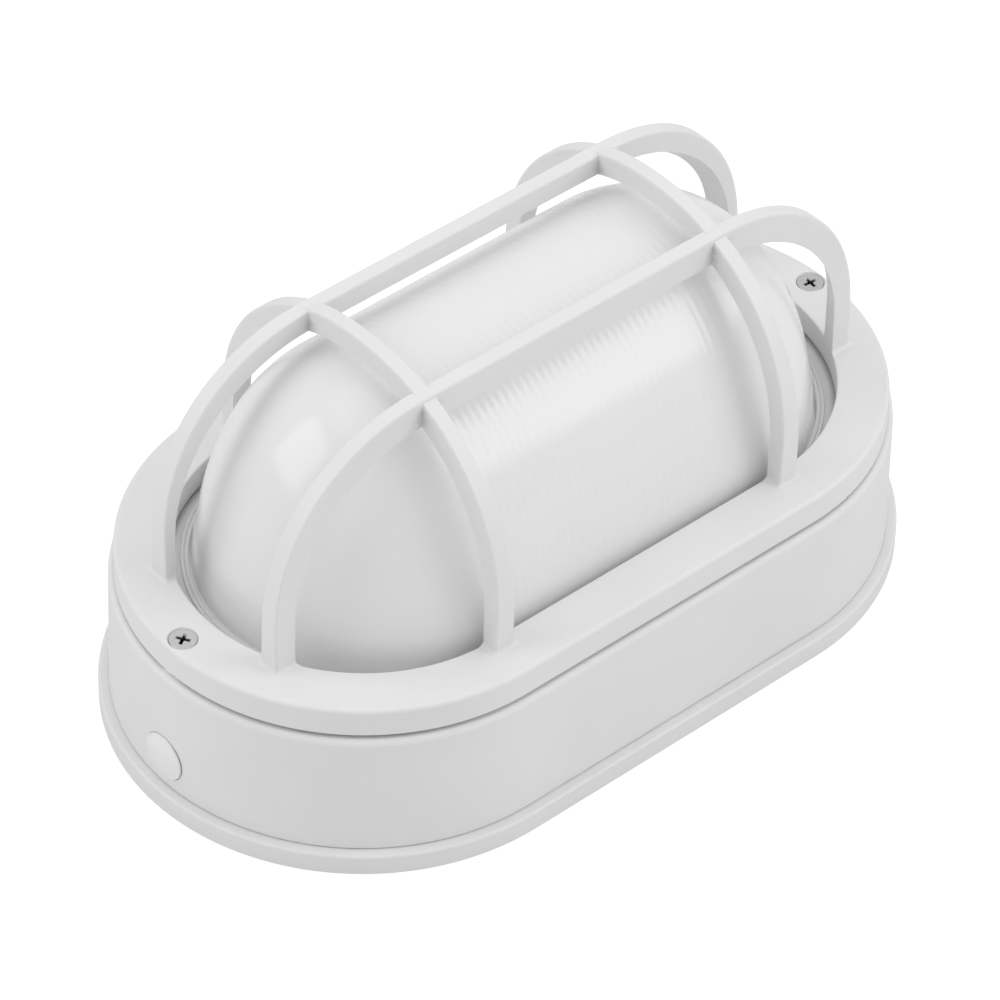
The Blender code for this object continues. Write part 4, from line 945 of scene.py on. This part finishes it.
class BULKHEAD_OT_guard_cover(bpy.types.Operator):
    """Model the cover ring and its four guard bars as one moulding"""

    bl_idname = "bulkhead.guard_cover"
    bl_label = "Cover and guard"

    def execute(self, context):
        sizes = settings("guard")
        springing = sizes.top + sizes.leg
        core_r = sizes.hole - sizes.core_draft
        hoop_r = core_r + sizes.leg_depth
        hoop_rise = sizes.core_rise + sizes.depth
        long_r = math.sqrt(hoop_r**2 - sizes.long_y**2)
        fullness = sizes.arch_fullness
        long_rise = hoop_rise * (1 - (sizes.long_y / hoop_r) ** fullness) ** (1 / fullness)
        guard = self.bar("bars", sizes, long_r - sizes.long_inset, long_rise, SPAN, False)
        cross = self.bar("cross", sizes, hoop_r, hoop_rise, 0.0, True)
        long = copied(guard, "long", (0, 2 * sizes.long_y, 0))
        cross_far = copied(cross, "cross_far", (2 * (SPAN - sizes.cross_inset), 0, 0))
        boolean(guard, [long, cross_far, cross], "UNION", "MANIFOLD")
        boolean(guard, [self.core(sizes, springing, core_r)], "DIFFERENCE", "MANIFOLD")
        cover = self.ring(sizes, springing)
        boolean(cover, [guard], "UNION", "MANIFOLD")
        under = sizes.top - sizes.plate + CLEAR
        bosses = []
        holes = []
        for side in ENDS.values():
            bosses.append(cylinder("boss", BOSS_R, COVER_LOW.z, under, (side * SCREW_X, 0)))
            holes.append(self.countersink(sizes, side))
        boolean(cover, bosses, "UNION", "MANIFOLD")
        boolean(cover, holes, "DIFFERENCE", "MANIFOLD")
        polish(named(cover, "guard_cover_dressed"))
        dress(cover, cover_material(), "white_shell_plastic", "cage_cover")
        return {"FINISHED"}

    def ring(self, sizes, springing):
        """The cover's ring: skirt, rounded shoulder, flat top, rounded hole edge and lip."""
        outer = COVER_HIGH.y
        shoulder = outer - HAIR
        lip_z = sizes.top - sizes.lip
        lip_r = GASKET_HIGH.y - CLEAR
        under = sizes.top - sizes.plate
        lean = sizes.core_draft / (springing - lip_z)
        rim_r = sizes.hole - lean * (sizes.top - lip_z) + sizes.hole_edge
        profile = [(outer - SKIRT_EDGE, sizes.skirt_z), (outer, sizes.skirt_z + SKIRT_EDGE)]
        profile += round_corner(sizes.edge, (shoulder - sizes.edge, sizes.top - sizes.edge), 0, 90)
        profile += round_corner(sizes.hole_edge, (rim_r, sizes.top - sizes.hole_edge), 90, 180)
        foot = (sizes.hole + sizes.hole_foot, lip_z + sizes.hole_foot)
        profile += round_corner(sizes.hole_foot, foot, 180, 270)
        profile += [(lip_r, lip_z), (lip_r, under), (outer - sizes.skirt, under)]
        profile += [(outer - sizes.skirt, sizes.skirt_z), (outer - SKIRT_EDGE, sizes.skirt_z)]
        return sweep_oval("guard_cover_dressed", profile)

    def core(self, sizes, springing, core_r):
        """The mould's core inside the guard, a long dome that the bars' inner faces follow."""
        low = sizes.top - sizes.lip
        profile = [(0, low), (sizes.hole + CORE_SKIN, low)]
        for angle in quarter_turn(ARC_STEPS // 2):
            ahead, up, _ = arch_point(angle, core_r + CORE_SKIN, sizes.core_rise, sizes.core_fullness)
            profile.append((ahead, springing + up))
        profile[-1] = (0, springing + sizes.core_rise)
        return sweep_oval("core", profile)

    def stations(self, sizes, reach, rise, straight):
        """Stations along one hoop: each one's place ahead, height, facing and flare of the foot's fillet."""
        springing = sizes.top + sizes.leg
        places = [(reach + sizes.fillet, sizes.top - sizes.plate / 2, 0.0, sizes.fillet)]
        for angle in quarter_turn(EDGE_STEPS):
            flare = sizes.fillet * (1 - math.sin(angle))
            height = sizes.top + sizes.fillet * (1 - math.cos(angle)) - FILLET_SINK
            places.append((reach + flare, height, 0.0, flare))
        for angle in quarter_turn(ARC_STEPS // 2):
            ahead, up, facing = arch_point(angle, reach, rise, sizes.arch_fullness)
            places.append((ahead, springing + up, facing, 0.0))
        half = [(straight + ahead, z, angle, flare) for ahead, z, angle, flare in places]
        mirrored = [(-ahead, z, math.pi - angle, flare) for ahead, z, angle, flare in reversed(half)]
        return half + (mirrored if straight else mirrored[1:])

    def bar(self, name, sizes, reach, rise, straight, crosswise):
        """One hoop: a rounded section pushed up from the cover, over its arch and down again."""
        crown = sizes.top + sizes.leg + rise
        offset = -(SPAN - sizes.cross_inset) if crosswise else -sizes.long_y

        def width(height, flare):
            share_up = (height - sizes.top) / (crown - sizes.top)
            return sizes.foot_width + (sizes.crown_width - sizes.foot_width) * share_up + 2 * flare

        def at(ahead, height):
            return Vector((offset, ahead, height)) if crosswise else Vector((ahead, offset, height))

        stations = self.stations(sizes, reach, rise, straight)
        ahead, height, angle, flare = stations[0]
        wide = width(height, flare)
        self.section(sizes, at(ahead, height), wide, crosswise)
        for new_ahead, new_height, new_angle, flare in stations[1:]:
            new_at = at(new_ahead, new_height)
            new_wide = width(new_height, flare)
            push(new_at - at(ahead, height))
            turn = new_angle - angle
            if turn:
                turn = -turn if crosswise else turn
                axis = "X" if crosswise else "Y"
                bpy.ops.transform.rotate(value=turn, orient_axis=axis, center_override=new_at)
            stretch = new_wide / wide
            value = (stretch, 1, 1) if crosswise else (1, stretch, 1)
            bpy.ops.transform.resize(value=value, center_override=new_at)
            ahead, height, angle = new_ahead, new_height, new_angle
            wide = new_wide
        return close_up(name)

    def section(self, sizes, at, wide, crosswise):
        """A flat slab lying at the foot of a bar, its two outer corners rounded."""
        deep = 2 * sizes.depth
        middle = at + Vector((0, -deep / 2, 0) if crosswise else (-deep / 2, 0, 0))
        bpy.ops.object.select_all(action="DESELECT")
        bpy.ops.mesh.primitive_plane_add(size=1.0, location=middle)
        bpy.ops.object.transform_apply(location=True, rotation=True, scale=True)
        bpy.ops.object.mode_set(mode="EDIT")
        scale = (wide, deep, 1) if crosswise else (deep, wide, 1)
        bpy.ops.transform.resize(value=scale, center_override=middle)
        along = 1 if crosswise else 0
        select_where("VERT", lambda vert: vert.co[along] > at[along] - MERGE)
        bpy.ops.mesh.bevel(offset=sizes.rounding, segments=EDGE_STEPS, affect="VERTICES")
        bpy.ops.mesh.select_mode(type="FACE")
        bpy.ops.mesh.select_all(action="SELECT")

    def countersink(self, sizes, side):
        """The tapered hole that a cover screw drops into."""
        screws = settings("screws")
        head_r = screws.head_radius + CLEAR
        bore_r = screws.shank + CLEAR
        seat = SCREW_HIGH.z
        low = seat - screws.head_height - CLEAR
        foot = COVER_LOW.z - CLEAR
        top = sizes.top + CLEAR
        profile = [(0, foot), (bore_r, foot), (bore_r, low), (head_r, seat), (head_r, top), (0, top)]
        return lathe("countersink", profile, (side * SCREW_X, 0, 0))


class BULKHEAD_OT_diffuser(bpy.types.Operator):
    """Model the opal bowl: flange, step, dome and fine ribs"""

    bl_idname = "bulkhead.diffuser"
    bl_label = "Diffuser"

    def execute(self, context):
        sizes = settings("diffuser")
        flange_z = DIFFUSER_LOW.z
        flange_top = flange_z + sizes.flange
        springing = flange_top + sizes.neck
        foot = flange_top + sizes.step_height
        profile = [(0, flange_z + sizes.edge), (sizes.radius, flange_z + sizes.edge), (sizes.radius, foot)]
        profile += self.dome_section(sizes, sizes.radius, DIFFUSER_HIGH.z, springing)
        dome = sweep_oval("diffuser_dressed", profile, sizes.span)
        self.rib(dome, sizes, springing)
        outside = [self.flange(sizes, flange_z, flange_top), self.step(sizes, flange_top)]
        boolean(dome, outside, "UNION", "MANIFOLD")
        boolean(dome, [self.inside(sizes, flange_z, springing)], "DIFFERENCE", "MANIFOLD")
        smooth(named(dome, "diffuser_dressed"), SMOOTH_BOWL)
        dress(dome, opal_material(), "opal_diffuser_plastic", "diffuser")
        return {"FINISHED"}

    def dome_section(self, sizes, radius, top, springing):
        """The bowl's section from its neck up to the crown line, the upper part of a full oval."""
        rise = top - sizes.waist
        start = math.asin(((springing - sizes.waist) / rise) ** (sizes.rise_fullness / 2))
        points = []
        for step in range(DOME_STEPS):
            angle = start + (math.pi / 2 - start) * step / DOME_STEPS
            height = sizes.waist + rise * math.sin(angle) ** (2 / sizes.rise_fullness)
            points.append((radius * math.cos(angle) ** (2 / sizes.round_fullness), height))
        points.append((0, top))
        return points

    def rib(self, dome, sizes, springing):
        """Divides the straight part and draws each station in to the long axis by its place on a rib."""
        make_active(dome)
        bpy.ops.object.mode_set(mode="EDIT")

        def runs_lengthwise(edge):
            a, b = (vert.co for vert in edge.verts)
            return abs(a.x - b.x) > MERGE and abs(a.y - b.y) < MERGE and abs(a.z - b.z) < MERGE

        for cuts in (sizes.ribs - 1, RIB_PHASES - 1):
            select_where("EDGE", runs_lengthwise)
            bpy.ops.mesh.subdivide(number_cuts=cuts)
        pitch = 2 * sizes.span / sizes.ribs
        for phase in range(1, RIB_PHASES):
            dip = sizes.rib_depth * (1 - math.cos(2 * math.pi * phase / RIB_PHASES)) / 2
            shrink = 1 - dip / sizes.radius

            def on_phase(vert, phase=phase):
                if abs(vert.co.x) > sizes.span - MERGE or vert.co.z < springing - MERGE:
                    return False
                place = ((vert.co.x + sizes.span) / pitch) % 1.0
                return abs(place - phase / RIB_PHASES) < 0.5 / RIB_PHASES

            select_where("VERT", on_phase)
            bpy.ops.transform.resize(value=(1, shrink, shrink), center_override=(0, 0, springing))
        bpy.ops.object.mode_set(mode="OBJECT")

    def flange(self, sizes, low, high):
        """The flat flange that the cover clamps."""
        outer = DIFFUSER_HIGH.y
        edge = sizes.edge
        profile = [(0, low), (outer - edge, low), (outer, low + edge)]
        profile += round_corner(edge, (outer - edge, high - edge), 0, 90)
        profile += [(0, high)]
        return sweep_oval("flange", profile)

    def step(self, sizes, flange_top):
        """The raised step round the foot of the bowl, with the groove in its rim."""
        outer = sizes.radius + (settings("guard").hole - CLEAR - sizes.radius) / 2
        span = sizes.span + sizes.radius + sizes.step_width - outer
        foot = flange_top - sizes.flange / 2
        top = flange_top + sizes.step_height
        low = top - sizes.groove_depth
        edge = sizes.edge
        middle = outer - sizes.groove_inset
        half = sizes.groove_width / 2
        inner = outer - sizes.bead_width
        profile = [(0, foot), (outer, foot)]
        profile += round_corner(edge, (outer - edge, top - edge), 0, 90)
        profile += [(middle + half, top), (middle, low), (middle - half, top)]
        profile += [(inner, top), (inner - half, low), (0, low)]
        return sweep_oval("step", profile, span)

    def inside(self, sizes, flange_z, springing):
        """The hollow of the bowl, as a cutter."""
        radius = sizes.radius - sizes.wall
        profile = [(0, flange_z - CLEAR), (radius, flange_z - CLEAR)]
        profile += self.dome_section(sizes, radius, DIFFUSER_HIGH.z - sizes.wall, springing)
        return sweep_oval("inside", profile, sizes.span)


class BULKHEAD_OT_cover_screws(bpy.types.Operator):
    """Model the two countersunk cover screws with their cross recesses"""

    bl_idname = "bulkhead.cover_screws"
    bl_label = "Cover screws"

    def execute(self, context):
        sizes = settings("screws")
        top = SCREW_HIGH.z
        tip = SCREW_LOW.z
        shank = sizes.shank
        profile = [(0, tip), (shank * SCREW_TIP, tip), (shank, tip + shank), (shank, top - sizes.head_height)]
        profile += [(sizes.head_radius, top - SCREW_RIM), (sizes.head_radius - SCREW_RIM, top), (0, top)]
        for end, side in ENDS.items():
            screw = lathe(f"cover_screw_{end}_dressed", profile, (side * SCREW_X, 0, 0))
            boolean(screw, self.cross(sizes, side, top), "DIFFERENCE")
            polish(screw)
            dress(screw, steel_material(), "plated_steel", f"cover_screw_{end}")
        return {"FINISHED"}

    def cross(self, sizes, side, top):
        """Two tapered blades that cut the driver recess, turned as the screw was left."""
        blades = []
        at = Vector((side * SCREW_X, 0, top))
        half = Vector((sizes.cross_length / 2, sizes.cross_width / 2, 0))
        for turn in (CROSS_TURNS[side], CROSS_TURNS[side] + math.pi / 2):
            low = at - half - Vector((0, 0, sizes.cross_depth))
            blade = box("blade", low, at + half + Vector((0, 0, CLEAR)))
            make_active(blade)
            bpy.ops.object.mode_set(mode="EDIT")
            select_where("FACE", lambda face: face.normal.z < -0.9)
            bpy.ops.transform.resize(value=BLADE_TAPER, center_override=at)
            bpy.ops.mesh.select_all(action="SELECT")
            bpy.ops.transform.rotate(value=turn, orient_axis="Z", center_override=at)
            bpy.ops.object.mode_set(mode="OBJECT")
            blades.append(blade)
        return blades


class BULKHEAD_OT_blanking_plug(bpy.types.Operator):
    """Model the domed plug in the end wall's cable entry"""

    bl_idname = "bulkhead.blanking_plug"
    bl_label = "Blanking plug"

    def execute(self, context):
        sizes = settings("screws")
        radius = sizes.plug_radius
        crown = sizes.plug_crown
        tail = plug_face().x - PLUG_HIGH.x
        stem = sizes.plug_stem
        hollow = stem - sizes.plug_wall
        dome_r = (radius**2 + (crown - PLUG_RIM) ** 2) / (2 * (crown - PLUG_RIM))
        profile = []
        for step in range(PLUG_STEPS + 1):
            across = radius * step / PLUG_STEPS
            profile.append((across, CLEAR + crown - dome_r + math.sqrt(dome_r**2 - across**2)))
        corner = (radius - PLUG_EDGE, CLEAR + PLUG_RIM - PLUG_EDGE_DROP)
        profile[-1:] = round_corner(PLUG_EDGE, corner, 60, 0, PLUG_EDGE_STEPS)
        profile += [(radius, CLEAR), (stem, CLEAR), (stem, tail), (hollow, tail), (hollow, 0), (0, 0)]
        plug = lathe("blanking_plug_dressed", profile, plug_face(), (-1, 0, 0))
        polish(plug, SMOOTH_PLUG)
        dress(plug, plug_material(), "white_plug_plastic", "blanking_plug")
        return {"FINISHED"}


class BULKHEAD_OT_inner_finishes(bpy.types.Operator):
    """Give the seals, the lamp and the wiring inside their own materials"""

    bl_idname = "bulkhead.inner_finishes"
    bl_label = "Inner finishes"

    def execute(self, context):
        made = {
            "white_shell_plastic": shell_material(),
            "opal_diffuser_plastic": opal_material(),
            "white_plug_plastic": plug_material(),
            "plated_steel": steel_material(),
        }
        for slot, values in INNER_FINISHES.items():
            made[slot] = finish(*values)
        for name, cad_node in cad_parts.items():
            for place in cad_node.material_slots:
                if place.material is None or place.material.name not in made:
                    raise RuntimeError(f"{name} has no finish")
                place.material = made[place.material.name]
        return {"FINISHED"}


class BULKHEAD_OT_stage(bpy.types.Operator):
    """Set the floor, the soft studio lights, the surround and the camera"""

    bl_idname = "bulkhead.stage"
    bl_label = "Stage"

    def execute(self, context):
        stage = settings("stage")
        self.floor(stage)
        self.surround(context.scene, stage)
        self.panel("Overhead panel", OVERHEAD_AT, OVERHEAD_SIZE, stage.top_light)
        self.panel("Right softbox", aimed(*RIGHT_BOX), RIGHT_BOX_SIZE, stage.side_light)
        self.panel("Left softbox", aimed(*LEFT_BOX), LEFT_BOX_SIZE, stage.back_light)
        self.camera(context.scene, stage)
        context.scene.view_settings.view_transform = "Standard"
        return {"FINISHED"}

    def floor(self, stage):
        """A wide pale floor that the camera sees nearly white."""
        bpy.ops.object.select_all(action="DESELECT")
        bpy.ops.mesh.primitive_plane_add(size=FLOOR_SIZE, location=(0, 0, -CLEAR))
        floor = bpy.context.object
        floor.name = "studio_floor"
        material = bpy.data.materials.new("Studio floor")
        material.use_nodes = True
        tree = material.node_tree
        shader = tree.nodes["Principled BSDF"]
        feeds = {"Base Color": (*stage.floor, 1.0), "Roughness": FLOOR_ROUGHNESS, "Specular IOR Level": 0.0}
        feed_node(tree, shader, feeds)
        glow = node(tree, "Emission", (0, -420), {"Strength": FLOOR_GLOW_STRENGTH})
        seen = node(tree, "LightPath", (-400, 300), {}).outputs["Is Camera Ray"]
        amount = value_math(tree, (-160, 300), "MULTIPLY", seen, stage.floor_glow)
        feeds = {"Fac": amount, 1: shader.outputs["BSDF"], 2: glow.outputs["Emission"]}
        mix = node(tree, "MixShader", (320, 0), feeds)
        tree.links.new(mix.outputs["Shader"], tree.nodes["Material Output"].inputs["Surface"])
        floor.data.materials.append(material)

    def surround(self, scene, stage):
        """An even white surround, seen as pure white by the camera."""
        world = bpy.data.worlds.new("Studio surround")
        scene.world = world
        world.use_nodes = True
        tree = world.node_tree
        light = tree.nodes["Background"]
        feed_node(tree, light, {"Color": WHITE, "Strength": stage.world_light})
        white = node(tree, "Background", (0, -200), {"Color": WHITE}).outputs["Background"]
        seen = node(tree, "LightPath", (-300, 300), {}).outputs["Is Camera Ray"]
        mix = node(tree, "MixShader", (260, 0), {"Fac": seen, 1: light.outputs["Background"], 2: white})
        tree.links.new(mix.outputs["Shader"], tree.nodes["World Output"].inputs["Surface"])

    def panel(self, name, place, size, radiance):
        """A soft rectangular light that faces the object."""
        bpy.ops.object.light_add(type="AREA", location=place)
        panel = bpy.context.object
        panel.name = name
        panel.data.shape = "RECTANGLE"
        panel.data.size, panel.data.size_y = size
        panel.data.energy = radiance * math.pi * size[0] * size[1]
        panel.rotation_mode = "QUATERNION"
        panel.rotation_quaternion = (MIDDLE - Vector(place)).to_track_quat("-Z", "Y")

    def camera(self, scene, stage):
        bpy.ops.object.camera_add(location=stage.camera)
        camera = bpy.context.object
        camera.data.lens = stage.lens
        camera.data.sensor_width = SENSOR_W
        camera.data.clip_start = CAMERA_NEAR
        camera.data.clip_end = CAMERA_FAR
        aim = Vector(stage.target) - Vector(stage.camera)
        camera.rotation_mode = "QUATERNION"
        camera.rotation_quaternion = aim.to_track_quat("-Z", "Y") @ Quaternion((0, 0, 1), stage.roll)
        scene.camera = camera


def aimed(azimuth, elevation, distance):
    """A place seen from the light's middle at an azimuth and an elevation, in degrees."""
    a = math.radians(azimuth)
    e = math.radians(elevation)
    return MIDDLE + Vector((math.sin(a) * math.cos(e), -math.cos(a) * math.cos(e), math.sin(e))) * distance


class BULKHEAD_PT_sidebar(bpy.types.Panel):
    """Lists the pieces and the stage"""

    bl_idname = "BULKHEAD_PT_sidebar"
    bl_label = "Bulkhead light"
    bl_space_type = "VIEW_3D"
    bl_region_type = "UI"
    bl_category = "Bulkhead"

    def draw(self, context):
        for operator in OPERATORS:
            self.layout.operator(operator.bl_idname)
        for name, group in GROUPS.items():
            values = getattr(context.scene, name)
            rows = self.layout.box()
            for key in group.__annotations__:
                rows.prop(values, key)


OPERATORS = (
    BULKHEAD_OT_back_plate,
    BULKHEAD_OT_housing,
    BULKHEAD_OT_guard_cover,
    BULKHEAD_OT_diffuser,
    BULKHEAD_OT_cover_screws,
    BULKHEAD_OT_blanking_plug,
    BULKHEAD_OT_inner_finishes,
    BULKHEAD_OT_stage,
)
GROUPS = {
    "bulkhead_body": BulkheadBodySizes,
    "bulkhead_guard": BulkheadGuardSizes,
    "bulkhead_diffuser": BulkheadDiffuserSizes,
    "bulkhead_screws": BulkheadScrewSizes,
    "bulkhead_finishes": BulkheadFinishes,
    "bulkhead_stage": BulkheadStage,
}


def register():
    for name, group in GROUPS.items():
        bpy.utils.register_class(group)
        setattr(bpy.types.Scene, name, PointerProperty(type=group))
    for made in (*OPERATORS, BULKHEAD_PT_sidebar):
        bpy.utils.register_class(made)


def unregister():
    for made in (BULKHEAD_PT_sidebar, *reversed(OPERATORS)):
        bpy.utils.unregister_class(made)
    for name, group in reversed(GROUPS.items()):
        delattr(bpy.types.Scene, name)
        bpy.utils.unregister_class(group)


def main():
    """Builds every piece and the stage in order."""
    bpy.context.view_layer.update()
    register()
    bpy.ops.bulkhead.back_plate()
    bpy.ops.bulkhead.housing()
    bpy.ops.bulkhead.guard_cover()
    bpy.ops.bulkhead.diffuser()
    bpy.ops.bulkhead.cover_screws()
    bpy.ops.bulkhead.blanking_plug()
    bpy.ops.bulkhead.inner_finishes()
    bpy.ops.bulkhead.stage()


if __name__ == "__main__":
    main()
